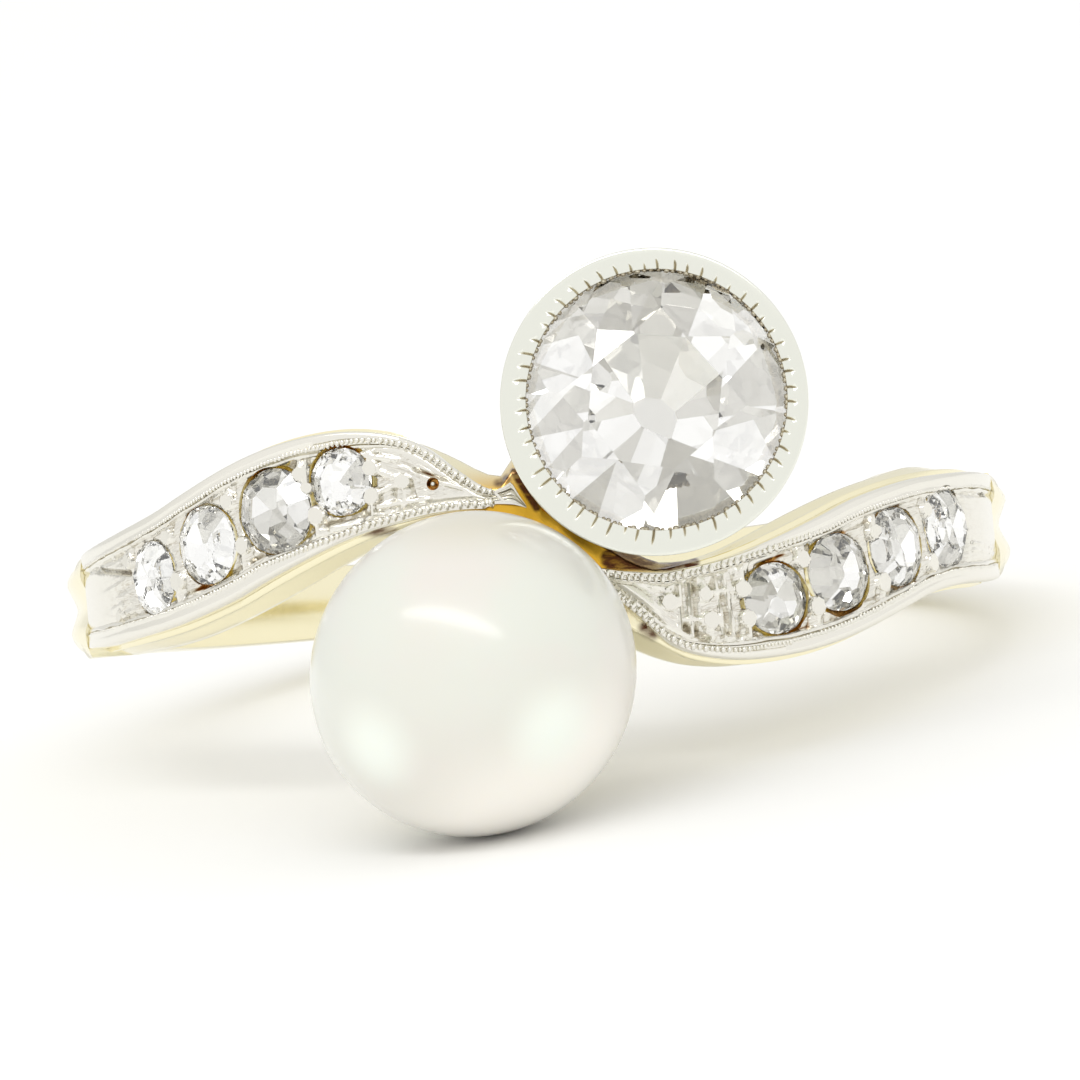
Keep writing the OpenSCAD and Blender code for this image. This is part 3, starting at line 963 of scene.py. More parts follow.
def pearl_seat():
    """Stem, cup and peg under the pearl."""
    low = PEARL_CENTRE.z - PEARL_R
    room = PEARL_R + GAP

    def bowl(radius):
        return PEARL_CENTRE.z - math.sqrt(room**2 - radius**2)

    profile = [(STEM_R, SEAT_BASE), (STEM_R, low - CUP_T), (CUP_R + CUP_EDGE, bowl(CUP_R) - CUP_WALL_H)]
    profile += [(CUP_R + CUP_EDGE, bowl(CUP_R))]
    profile += [(radius, bowl(radius)) for radius in (CUP_R, *BOWL_RADII, PEG_R)]
    profile += [(PEG_R, low + PEG_H - PEG_EASE[1]), (PEG_R - PEG_EASE[0], low + PEG_H)]
    return put(turned("cup", profile, HEAD_SIDES), head_place(PEARL_CENTRE))


def bore_cutter(radius):
    cutter = turned("bore", ((radius, -BORE_REACH), (radius, BORE_REACH)), BORE_SIDES)
    return put(cutter, Matrix.Rotation(math.pi / 2, 4, "X"))


# Shares of a small stone, and sizes of its seat: fall of the shelf under the girdle, room over the girdle,
# width and height of the lap of metal, and how far the cutter reaches inwards and outwards.
LIGHT_SHARE, PAVILION, GIRDLE_SHARE = 0.7, 0.42, 0.01
SEAT_FALL, GIRDLE_ROOM, LAP, LAP_H, CUT_IN, CUT_OUT, SEAT_SIDES = 0.1, 0.005, 0.03, 0.03, -2.6, 1.0, 40


def seat_cutters(side, room):
    """What is drilled out for a shoulder's stones: a light hole, a cone, the seat and a narrower opening."""
    cutters = []
    for row in STONES[side]:
        off = Vector((row[OFF_ROUND], row[OFF_ALONG], 0))
        r = row[SIZE] / 2
        light_r = r * LIGHT_SHARE
        wide = r + room + off.length
        opening = r - LAP + off.length
        shelf = -row[SIZE] * GIRDLE_SHARE - SEAT_FALL
        cone_end = shelf - (wide - light_r) * PAVILION * 2
        lap = row[SIZE] * GIRDLE_SHARE + GIRDLE_ROOM
        profile = (
            (light_r, CUT_IN), (light_r, cone_end), (wide, shelf),
            (wide, lap), (opening, lap + LAP_H), (opening, CUT_OUT),
        )
        place = stone_place(side, row) @ Matrix.Translation(off)
        cutters.append(put(turned("seat_cutter", profile, SEAT_SIDES), place))
    return cutters


class RING_OT_gold_hoop(bpy.types.Operator):
    """Models the hoop with the bar, seat and cup that carry the heads"""

    bl_idname = "ring.gold_hoop"
    bl_label = "Gold Hoop"

    def execute(self, context):
        sizes = context.scene.ring_sizes
        top = COLLET_LOW.z - GAP
        head = carve(head_bar(top), "UNION", collet_seat(top), pearl_seat())
        carve(head, "DIFFERENCE", bore_cutter(FINGER_R + GAP))
        hoop = carve(bare_hoop(), "UNION", head)
        light = turned("light", ((SEAT_HOLE_R, 0), (SEAT_HOLE_R, COLLET_HIGH.z)), HEAD_SIDES)
        carve(hoop, "DIFFERENCE", put(light, head_place(COLLET_CENTRE)))
        for side in STONES:
            carve(hoop, "DIFFERENCE", *seat_cutters(side, mm(sizes.seat_room)))
        hoop.name = "hoop_and_head"
        smooth(hoop, METAL_CREASE)
        finish_piece(hoop, yellow_gold(context.scene.ring_colours), "yellow_gold", "gold_hoop")
        return {"FINISHED"}


# One edge of a facing, from its wall inwards: distance from it, height over the border, share of the bed.
EDGE_PROFILE = (
    (0.00, -0.40, 0), (0.00, -0.07, 0), (0.02, -0.02, 0), (0.05, 0.0, 0), (0.17, 0.0, 0), (0.19, -0.04, 0),
    (0.26, -0.04, 0), (0.275, -0.005, 0), (0.31, -0.01, 0), (0.33, -0.09, 0), (0.355, -0.03, 0.05),
    (0.40, -0.035, 0.1), (0.43, -0.06, 0.25), (0.47, -0.03, 0.6), (0.54, 0, 1.0),
)
RELIEF_W = 0.56
# Between two insets the milgrain's channel is worn flat beyond an angle.
CHANNEL, WORN_FROM, WORN_OVER, WORN_SHARE = (0.18, 0.32), 19, 14, 0.85
FACING_STEPS, BED_STEPS = 290, 36
# Angles between which each edge's relief goes from narrow, near the tip, to its full width.
NARROW, OUTER_WIDENS, INNER_WIDENS = 0.55, (14, 24), (23, 33)
BED_END, END_OVER_BED, END_HIGH, END_CALM = 60, 8, 0.75, 0.7
TIP_BED_SHARE = 0.05
# The borders wander a little: by the angle, the inset and the edge, from an inset on, and more in height.
RAIL_WAVES, RAIL_FROM, RAIL_OVER, RAIL_WANDER, RAIL_HEAVE = (0.35, 12, 9), 0.1, 0.15, 0.025, 18
# Where in the noise each facing's unevenness is read.
HAND_PLACE = {"left": 4, "right": 5}


def facing_edge(side, angle, edge):
    """Place of an edge of a facing (0 outer, 1 inner), and the share of full width that its relief has."""
    low, high = facing_edges(side, angle)
    start, stop = INNER_WIDENS if edge else OUTER_WIDENS
    room = mix(NARROW, 1, (angle - start) / (stop - start))
    return (high if edge else low), room * min(1, (high - low) / 2 / (RELIEF_W * room))


def bed_depth(angle, sizes):
    return mm(sizes.bed) * mix(TIP_BED_SHARE, 1, (angle - BED_FROM) / BED_FADE)


# Grains of metal that hold the stones: angle, place along the finger, and size over the usual one.
GRAINS = {
    "left": (
        (56.9, -0.66, 0.85), (60.3, 0.42, 0.7), (47.9, -1.01, 0.9), (46.6, -0.08, 1.1), (37.3, -1.55, 1.0),
        (35.6, -0.62, 1.0), (27.1, -1.91, 0.9), (26.3, -1.62, 0.8), (25.5, -1.04, 1.1), (18.6, -1.87, 1.0),
        (18.7, -1.31, 1.0), (15.0, -1.53, 0.85),
    ),
    "right": (
        (50.4, 0.17, 0.95), (50.8, -0.92, 1.0), (40.4, -0.25, 1.0), (41.1, -1.28, 1.05), (29.5, -0.72, 1.0),
        (30.9, -1.69, 1.1), (21.6, -1.23, 1.0), (22.0, -1.83, 1.0), (17.1, -1.28, 0.85), (17.5, -1.82, 1.0),
        (13.0, -1.38, 1.0),
    ),
}
# Ridges left between the cuts: angle and place along the finger of each end, half width, and height over the
# floor of the bed as a share of its depth.
RIDGES = {
    "left": (
        (18.6, -1.87, 15.0, -1.53, 0.09, 0.8), (18.7, -1.31, 15.0, -1.53, 0.09, 0.8),
        (15.6, -1.98, 19.5, -2.15, 0.09, 0.9), (10.4, -1.40, 7.0, -1.17, 0.08, 0.8),
        (12.5, -1.12, 18.0, -1.08, 0.09, 0.9), (24.9, -2.05, 22.0, -2.25, 0.08, 0.9),
        (62.5, 0.30, 59.5, 0.22, 0.14, 0.8),
    ),
    "right": (
        (14.3, -0.75, 14.1, -1.95, 0.06, 1.0), (15.4, -0.72, 15.3, -2.10, 0.06, 1.0),
        (18.3, -0.80, 18.9, -2.20, 0.06, 1.0), (19.4, -0.82, 20.1, -2.25, 0.06, 1.0),
        (16.9, -1.28, 21.6, -1.2, 0.08, 0.8), (17.4, -1.80, 14.6, -1.75, 0.08, 0.8),
        (62.5, -0.51, 72.6, -0.59, 0.05, 0.9), (62.3, -0.67, 72.4, -0.70, 0.05, 0.9),
        (62.1, -0.83, 72.0, -0.81, 0.05, 0.9),
    ),
}
# Cuts: angle and place along the finger of each end, half width, and depth as a share of the bed's.
CUTS = {
    "left": (
        (70.8, -0.72, 57.6, -0.80, 0.07, 1.3), (70.8, -0.68, 57.0, -0.41, 0.07, 1.3),
        (69.3, 0.70, 56.5, 0.45, 0.08, 1.3), (48.2, -0.30, 45.8, 0.30, 0.06, 0.8),
        (29.5, -2.05, 24.5, -2.35, 0.05, 0.7), (13.6, -1.75, 10.0, -1.45, 0.05, 0.8),
        (26.0, -2.20, 33.0, -2.02, 0.05, 0.9), (33.0, -2.02, 40.0, -1.64, 0.05, 0.7),
        (40.0, -1.64, 47.0, -1.24, 0.05, 0.9), (47.0, -1.24, 56.0, -0.90, 0.05, 0.9),
        (16.0, -1.05, 24.0, -0.86, 0.05, 0.8), (24.0, -0.86, 31.0, -0.52, 0.05, 0.7),
        (31.0, -0.52, 38.0, -0.10, 0.05, 0.9), (38.0, -0.10, 46.0, 0.22, 0.05, 0.8),
        (46.0, 0.22, 56.0, 0.42, 0.05, 0.9),
    ),
    "right": (
        (14.6, -1.93, 17.0, -2.20, 0.10, 1.1), (17.0, -2.20, 19.1, -2.36, 0.08, 0.9),
        (18.7, -2.07, 24.4, -2.20, 0.05, 0.7), (19.7, -2.15, 25.9, -2.42, 0.05, 0.7),
        (11.6, -1.05, 11.4, -1.60, 0.06, 0.9), (14.8, -0.85, 14.7, -1.95, 0.04, 0.7),
        (18.9, -0.95, 19.5, -2.05, 0.04, 0.7), (16.0, -0.85, 15.9, -2.05, 0.05, 0.9),
        (23.5, -0.80, 28.5, -0.52, 0.05, 0.7), (26.0, -2.18, 33.0, -1.96, 0.05, 0.9),
        (33.0, -1.96, 40.0, -1.58, 0.05, 0.8), (40.0, -1.58, 47.0, -1.25, 0.05, 0.9),
        (47.0, -1.25, 56.0, -0.95, 0.05, 0.8), (30.0, -2.20, 38.0, -1.85, 0.05, 0.8),
        (30.0, -0.52, 38.0, -0.08, 0.05, 0.9), (38.0, -0.08, 46.0, 0.24, 0.05, 0.8),
        (46.0, 0.24, 57.0, 0.46, 0.05, 1.1), (60.0, 0.52, 70.0, 0.50, 0.06, 1.2),
    ),
}
# Lines cut along the tip of each facing: how many there would be from its outer edge to a place along the
# finger, the angle at which they end, that place, over what angle they fade, and their lowest height.
FAN_LINES, FAN_END = {"left": 3.5, "right": 5.5}, {"left": 9.5, "right": 12.8}
FAN_TO, FAN_OVER, FAN_LOW = 0.9, 1.5, 0.2
# A spur runs from each grain to its border, between two cuts that spread apart.
SPUR_REACH, SPUR_HALF_W, SPUR_HIGH, CUT_HALF_W, CUT_DEPTH, CUT_SPREAD = 0.55, 0.08, 0.9, 0.06, 0.6, 1.8
SPREAD_R, SLOPE_W, SLOPE_SHARE = 10.3, 0.3, 0.55
# How uneven the bed is, and its noises: waves along the bed and across it, and share.
CHATTER, HAND_WAVES = 0.16, ((0.9, 9, 1), (3, 4, 0.5))
# Where the flanks of ridges and grains end and how wide they are, as shares of their half width.
RIDGE_FOOT, RIDGE_FLANK, GRAIN_FOOT, GRAIN_FLANK = 1.1, 0.7, 1.3, 0.2
OUTLINE_W, OUTLINE_DEPTH = 0.06, 0.5


def spread(angle, along):
    """A place on a shoulder laid out flat, in millimetres."""
    return Vector((math.radians(angle) * SPREAD_R, along))


def far_from(place, start, end):
    """Distance of a place from a straight stretch."""
    run = end - start
    share = min(max((place - start).dot(run) / run.length_squared, 0), 1)
    return (place - start - run * share).length


class Engraving:
    """The relief cut into a facing's bed: ridges, grains, the cuts beside them and slopes to the stones."""

    def __init__(self, side, sizes):
        self.side = side
        self.grain_r = mm(sizes.grain_r)
        self.stones = [(spread(row[ANGLE], row[PLACE]), row[SIZE] / 2) for row in STONES[side]]
        self.grains = [(spread(angle, along), size) for angle, along, size in GRAINS[side]]
        self.ridges = [(spread(a, b), spread(c, d), w, high) for a, b, c, d, w, high in RIDGES[side]]
        self.cuts = [(spread(a, b), spread(c, d), w, deep) for a, b, c, d, w, deep in CUTS[side]]
        for angle, along, size in GRAINS[side]:
            low, high = facing_edges(side, angle)
            out = 1 if along > (low + high) / 2 else -1
            start, end = spread(angle, along), spread(angle, along + out * SPUR_REACH)
            self.ridges.append((start, end, SPUR_HALF_W * size, SPUR_HIGH))
            for way in (-1, 1):
                aside = Vector((way * (SPUR_HALF_W + CUT_HALF_W), 0))
                self.cuts.append((start + aside, end + aside * CUT_SPREAD, CUT_HALF_W, CUT_DEPTH))

    def height(self, angle, along):
        """Height over the bed's floor, as a share of the bed's depth."""
        place = spread(angle, along)
        edge = min((place - centre).length - r for centre, r in self.stones)
        slope = SLOPE_SHARE * min(max(edge, 0) / SLOPE_W, 1)
        end = eased((angle - BED_END) / END_OVER_BED)
        slope = mix(slope, END_HIGH, end)
        low, top = facing_edges(self.side, angle)
        hand = sum(
            noise.noise(Vector((place.x * by, (along - low) * across, HAND_PLACE[self.side]))) * share
            for by, across, share in HAND_WAVES
        )
        high = slope + CHATTER * hand * (1 - END_CALM * end)
        high -= OUTLINE_DEPTH * max(1 - max(edge, 0) / OUTLINE_W, 0)
        for start, stop, half_width, deep in self.cuts:
            high -= deep * max(1 - far_from(place, start, stop) / half_width, 0)
        for start, stop, half_width, level in self.ridges:
            far = far_from(place, start, stop) / half_width
            high = max(high, level * eased((RIDGE_FOOT - far) / RIDGE_FLANK)) if far < RIDGE_FOOT else high
        for centre, size in self.grains:
            far = (place - centre).length / (self.grain_r * size)
            high = max(high, eased((GRAIN_FOOT - far) / GRAIN_FLANK)) if far < GRAIN_FOOT else high
        fan = eased((FAN_END[self.side] - angle) / FAN_OVER)
        line = 0.5 + 0.5 * math.cos(math.tau * FAN_LINES[self.side] * (along - low) / (FAN_TO - low))
        return mix(high, FAN_LOW + (1 - FAN_LOW) * line, fan)


def facing_section(side, angle, sizes, engraving):
    top = top_radius(angle)
    bed = bed_depth(angle, sizes)

    def corner(along, height, share):
        deep = share * (1 - engraving.height(angle, along)) if share else 0
        return on_hoop(angle, top + height - bed * deep, along)

    halves = []
    for edge, inwards in ((0, 1), (1, -1)):
        start, room = facing_edge(side, angle, edge)
        rows = []
        for inset, height, share in EDGE_PROFILE:
            waves = (angle * RAIL_WAVES[0], inset * RAIL_WAVES[1], edge * RAIL_WAVES[2] + HAND_PLACE[side])
            wander = noise.noise(Vector(waves))
            wander *= RAIL_WANDER * eased((inset - RAIL_FROM) / RAIL_OVER)
            worn = WORN_SHARE * eased((angle - WORN_FROM) / WORN_OVER)
            height *= 1 - worn if CHANNEL[0] < inset < CHANNEL[1] else 1 + RAIL_HEAVE * wander
            rows.append((start + inwards * (inset + wander) * room, height, share))
        halves.append(rows)
    outer, inner = halves[0][-1][0], halves[1][-1][0]
    between = [(along, 0, 1) for along in evenly(outer, inner, BED_STEPS + 1)[1:-1]]
    return [corner(*row) for row in halves[0] + between + halves[1][::-1]]


def bare_facing(side, sizes):
    engraving = Engraving(side, sizes)
    around = evenly(FACING_TIP[side], FACING_END, FACING_STEPS)
    return loft(f"facing_{side}", [facing_section(side, angle, sizes, engraving) for angle in around])


BEAD_FROM, BEAD_TO, BEAD_INSET, WORN_INSET, BEAD_SUNK = 5.5, 73.6, 0.225, 0.30, 0.02
# Sizes of the beads at the tip, beyond it and at the far end, from which angle and over what angle they get
# smaller there, and how far ahead of a bead its border's slope is measured.
TIP_BEAD, USUAL_BEAD, FAR_BEAD, FAR_FROM, FAR_OVER, AHEAD = 1.4, 0.9, 0.6, 40, 20, 0.5
BEAD_UNEVEN, BEAD_STRAY = 0.2, 0.01
# Radius and height of a milgrain bead from its foot up, over its radius, and its length over its width.
BEAD_SHAPE, BEAD_LONG, BEAD_SIDES = ((0.4, -1), (0.9, -0.6), (1, 0), (0.8, 0.6), (0.35, 0.9)), 1.5, 8
# The same for a grain, in radii and millimetres, with how much longer and wider than usual it can be.
GRAIN_SHAPE, GRAIN_SIDES = ((1.12, -0.12), (1.07, -0.03), (1, 0.006)), 7
GRAIN_LONG, GRAIN_WIDE = (0.9, 1.2), (0.85, 1.1)


def bead_places(side, pitch, rng):
    """Where the milgrain beads stand, along both edges: large at the tip, and worn at the other end."""
    places = []
    for edge, inwards in ((0, 1), (1, -1)):
        angle = BEAD_FROM
        while angle < BEAD_TO:
            here, room = facing_edge(side, angle, edge)
            ahead, _ = facing_edge(side, angle + AHEAD, edge)
            slope = (ahead - here) / (math.radians(AHEAD) * top_radius(angle))
            size = mix(TIP_BEAD, USUAL_BEAD, (room - NARROW) / (1 - NARROW))
            size *= mix(1, FAR_BEAD, (angle - FAR_FROM) / FAR_OVER)
            size *= rng.uniform(1 - BEAD_UNEVEN, 1 + BEAD_UNEVEN)
            inset = mix(BEAD_INSET, WORN_INSET, (angle - WORN_FROM) / WORN_OVER)
            along = here + inwards * inset * room + rng.uniform(-BEAD_STRAY, BEAD_STRAY)
            place = shoulder_place("right", angle, along, top_radius(angle) - BEAD_SUNK, math.atan(slope))
            places.append(place @ Matrix.Diagonal((size, size, size, 1)))
            angle += math.degrees(pitch * size / math.hypot(1, slope) / top_radius(angle))
    return places


def milgrain(side, sizes, rng):
    r = mm(sizes.bead_r)
    bead = turned("bead", [(r * wide, r * high) for wide, high in BEAD_SHAPE], BEAD_SIDES)
    put(bead, Matrix.Diagonal((1, BEAD_LONG, 1, 1)))
    return repeat(bead, bead_places(side, mm(sizes.bead_pitch), rng))


def grains(side, sizes, rng):
    """Low, flat and uneven tops on the grains, over the edges of the stones."""
    r = mm(sizes.grain_r)
    profile = [(r * wide, height) for wide, height in GRAIN_SHAPE]
    places = []
    for angle, along, size in GRAINS[side]:
        place = shoulder_place("right", angle, along, top_radius(angle), rng.uniform(0, math.tau))
        longer, wider = size * rng.uniform(*GRAIN_LONG), size * rng.uniform(*GRAIN_WIDE)
        places.append(place @ Matrix.Diagonal((longer, wider, 1, 1)))
    return repeat(turned("grain", profile, GRAIN_SIDES), places)


# A small drilled hole with a bead in it, near the tip of the left facing.
HOLE_ANGLE, HOLE_ALONG, HOLE_R, HOLE_DEEP = 11.7, -1.42, 0.13, 0.24
HOLE_SHAPE, HOLE_SIDES = ((HOLE_R * 0.7, -HOLE_DEEP), (HOLE_R, -HOLE_DEEP / 3), (HOLE_R, 0.3)), 20
HOLE_BEAD_SHAPE, HOLE_BEAD_SIDES = ((0.02, -0.2), (0.05, -0.12), (0.05, -0.06), (0.03, -0.03)), 12
# A slit across the flared tip of the left facing, as two places, and its width and depth.
SLIT_START, SLIT_STOP, SLIT_W, SLIT_DEEP = (5.2, -1.16), (4.1, -0.93), 0.05, 0.2


def slit_cutter():
    start, end = spread(*SLIT_START), spread(*SLIT_STOP)
    run = end - start
    angle, along = (SLIT_START[0] + SLIT_STOP[0]) / 2, (SLIT_START[1] + SLIT_STOP[1]) / 2
    bpy.ops.mesh.primitive_cube_add(size=1)
    place = shoulder_place("right", angle, along, top_radius(angle), math.atan2(run.y, run.x))
    return put(named("slit_cutter"), place @ Matrix.Diagonal((run.length, SLIT_W, SLIT_DEEP * 2, 1)))


# Where old dirt lies in the seats: angle, place along the finger and reach.
SEAT_DIRT = {
    "left": (
        (43.8, -1.50, 0.30), (42.9, 0.08, 0.30), (33.3, -2.08, 0.35), (22.0, -2.33, 0.50),
        (HOLE_ANGLE, HOLE_ALONG, 0.4),
    ),
    "right": (
        (26.2, -0.74, 0.50), (28.4, -2.02, 0.35), (35.2, -0.12, 0.35), (35.5, -1.88, 0.45),
        (49.8, -0.35, 0.70), (40.5, -0.75, 0.25),
    ),
}


def dirt_at(point):
    """How dirty a seat is at a point: 1 in the middle of a dirty stretch, 0 away from it."""
    side, along = side_of(point)
    here = spread(shoulder_angle(point), along)
    return max(
        eased((1 - (here - spread(angle, there)).length / reach) * 2)
        for angle, there, reach in SEAT_DIRT[side]
    )


def drilled_hole():
    """The cutter and the bead of the small hole."""
    place = shoulder_place("right", HOLE_ANGLE, HOLE_ALONG, top_radius(HOLE_ANGLE))
    cutter = turned("hole_cutter", HOLE_SHAPE, HOLE_SIDES)
    bead = turned("bead", HOLE_BEAD_SHAPE, HOLE_BEAD_SIDES)
    return put(cutter, place), put(bead, place)


FACING_SEED, COLLET_SEED, DIAMOND_SEED = 3, 5, 11
FACING_MEASURES = {"depth": depth_at, "inset": inset_at, "arc": arc_at, "dirt": dirt_at}


class RING_OT_facings(bpy.types.Operator):
    """Models the white metal facing of each shoulder, with its milgrain, grains and seats"""

    bl_idname = "ring.facings"
    bl_label = "Shoulder Facings"

    def execute(self, context):
        sizes = context.scene.ring_sizes
        colours = context.scene.ring_colours
        metal = platinum(colours, colours.facing)
        rng = random.Random(FACING_SEED)
        for side in STONES:
            facing = bare_facing(side, sizes)
            trim = join(milgrain(side, sizes, rng), grains(side, sizes, rng))
            if side == "left":
                cutter, bead = drilled_hole()
                carve(facing, "DIFFERENCE", cutter, slit_cutter())
                join(trim, bead)
            put(facing, half_round(side))
            carve(facing, "DIFFERENCE", *seat_cutters(side, mm(sizes.seat_room)))
            join(facing, put(trim, half_round(side)))
            for name, measure in FACING_MEASURES.items():
                mark(facing, name, measure)
            smooth(facing, FACING_CREASE)
            finish_piece(facing, metal, "platinum", f"shoulder_plate_{side}")
        return {"FINISHED"}


RIM_R = (COLLET_HIGH.x - COLLET_LOW.x) / 2
RIM_Z = COLLET_HIGH.z
LIP_R, CAVITY_R, GIRDLE_Z = 2.6, 2.77, RIM_Z - 0.4
# Section of the collet: radius, height, and how far a notch moves the point outwards and down.
COLLET_PROFILE = (
    (2.20, COLLET_LOW.z, 0, 0),
    (RIM_R - 0.08, RIM_Z - 0.9, 0, 0),
    (RIM_R, RIM_Z - 0.035, 0, 0),
    (RIM_R - 0.005, RIM_Z - 0.02, 0, 0),
    (RIM_R - 0.01, RIM_Z - 0.01, 0, 0),
    (RIM_R - 0.02, RIM_Z - 0.005, 0, 0),
    (RIM_R - 0.035, RIM_Z, 0, 0),
    *((LIP_R + out, RIM_Z, 0, 1.0) for out in (0.30, 0.24, 0.18, 0.12, 0.06)),
    (LIP_R + 0.012, RIM_Z - 0.004, 0.35, 1.0),
    (LIP_R, RIM_Z - 0.06, 0.5, 0.3),
    (LIP_R, RIM_Z - 0.20, 0, 0),
    (CAVITY_R, GIRDLE_Z + 0.09, 0, 0),
    (CAVITY_R, GIRDLE_Z - 0.09, 0, 0),
    (CAVITY_R - 0.31, GIRDLE_Z - 0.36, 0, 0),
    (SEAT_HOLE_R, COLLET_LOW.z, 0, 0),
)
# Stations round one notch: share of the way to the next one, and share of the notch's depth.
NOTCH_STATIONS = ((-0.10, 0), (-0.06, 0.3), (0, 1), (0.06, 0.3), (0.10, 0), (0.36, 0), (0.63, 0))
AT_NOTCH = 0.2
NOTCH_FROM, NOTCH_ENDS_OVER = LIP_R - 0.05, 0.12
NOTCH_STRAY, NOTCH_REACHES, NOTCH_DEPTHS = 0.12, (0.2, 0.34), (0.7, 1.1)
# The opening lies a little aside of the collet's middle. The rim takes that up over part of its width.
LIP_SHIFT, LIP_ZONE, LIP_OVER, LIP_ABOVE = Vector((0.05, 0.04, 0)), 0.4, 0.3, GIRDLE_Z + 0.1
# Beads along the inner edge: how many, how far they stray, their radii, how far in and how deep they sit, how
# they are stretched, and their shape in radii.
LIP_BEADS, LIP_BEAD_STRAY, LIP_BEAD_RADII, LIP_BEAD_IN, LIP_BEAD_SUNK = 120, 0.3, (0.03, 0.06), 0.01, 0.10
LIP_BEAD_STRETCH = 1, 1.2, 1.4
LIP_BEAD_SHAPE = (0.4, -1), (0.9, -0.5), (1, 0), (0.8, 0.6), (0.3, 0.95)
LIP_MARK_W = 0.3


def collet_section(turn, cut, reach, depth):
    """Section of the collet at a turn. A notch cuts it down as far out from the lip as it reaches."""
    section = []
    for radius, height, out, down in COLLET_PROFILE:
        spot = Matrix.Rotation(turn, 4, "Z") @ Vector((radius + cut * out * depth, 0, 0))
        inner = height > LIP_ABOVE and radius < NOTCH_FROM + LIP_ZONE
        lip = eased((NOTCH_FROM + LIP_ZONE - radius) / LIP_OVER) if inner else 0
        drop = cut * depth * down * eased((NOTCH_FROM + reach - radius) / NOTCH_ENDS_OVER)
        section.append(spot + LIP_SHIFT * lip + Vector((0, 0, height - drop)))
    return section


def bare_collet(sizes, rng):
    """The collet, with notches of uneven length and place round its inner edge."""
    sections = []
    for k in range(sizes.knurls):
        aside, reach = rng.uniform(-NOTCH_STRAY, NOTCH_STRAY), rng.uniform(*NOTCH_REACHES)
        depth = mm(sizes.knurl_depth) * rng.uniform(*NOTCH_DEPTHS)
        for share, cut in NOTCH_STATIONS:
            near = aside if abs(share) < AT_NOTCH else 0
            turn = math.tau * (k + share + near) / sizes.knurls
            sections.append(collet_section(turn, cut, reach, depth))
    return loft("collet", sections, "joined")


def lip_beads(rng):
    """Small beads of metal pressed up along the inner edge between the notches."""
    bead = turned("lip_bead", LIP_BEAD_SHAPE, BEAD_SIDES)
    at_lip = Matrix.Translation((LIP_R - LIP_BEAD_IN, 0, RIM_Z - LIP_BEAD_SUNK))
    places = []
    for k in range(LIP_BEADS):
        turn = math.tau * (k + rng.uniform(-LIP_BEAD_STRAY, LIP_BEAD_STRAY)) / LIP_BEADS
        size = rng.uniform(*LIP_BEAD_RADII)
        place = Matrix.Translation(LIP_SHIFT) @ Matrix.Rotation(turn, 4, "Z") @ at_lip
        places.append(place @ Matrix.Diagonal((*(size * by for by in LIP_BEAD_STRETCH), 1)))
    return repeat(bead, places)


def lip_depth(point):
    """How far a point near the collet's inner edge lies under its rim."""
    close = (point.xy - COLLET_CENTRE.xy).length < LIP_R + LIP_MARK_W and point.z > GIRDLE_Z
    return RIM_Z - point.z if close else 0


class RING_OT_collet(bpy.types.Operator):
    """Models the collet of the main diamond, with its notched and beaded inner edge"""

    bl_idname = "ring.collet"
    bl_label = "Collet"

    def execute(self, context):
        sizes = context.scene.ring_sizes
        rng = random.Random(COLLET_SEED)
        collet = bare_collet(sizes, rng)
        join(collet, lip_beads(rng))
        put(collet, head_place(COLLET_CENTRE))
        mark(collet, "lip", lip_depth)
        smooth(collet, METAL_CREASE)
        collet.name = "collet"
        colours = context.scene.ring_colours
        finish_piece(collet, platinum(colours, colours.collet), "platinum", "diamond_collet")
        return {"FINISHED"}


# Facets of a cut, in rows: how many, angle of the first one, slope (below 0 at the back), and the place that
# they pass: share of the radius, and whether it is on the girdle (0) or the table (1).
HEAD_FACETS = (
    (8, 0, 34, 1.0, 0), (8, 22.5, 21, 0.47, 1), (16, 11.25, 40, 1.0, 0),
    (11, 0, -14, 1.0, 0), (13, 9, -17.5, 1.0, 0),
)
SMALL_FACETS = ((8, 0, 33, 1.0, 0), (6, 10, -10, 1.0, 0))
# Shares of the diameter that are the table's height over the girdle and the culet's depth below it.
HEAD_ENDS, SMALL_ENDS = (0.165, 0.105), (0.15, 0.38)
TURN_SLACK, SLOPE_SLACK, HEAD_TURN, HEAD_CULET = 2.5, 1.0, 12, Vector((0.0, -0.3))
STONE_SIDES, BACK_NORMAL = 64, -0.1


def cut_facet(place, outwards):
    bpy.ops.mesh.select_all(action="SELECT")
    bpy.ops.mesh.bisect(plane_co=place, plane_no=outwards, use_fill=True, clear_outer=True)


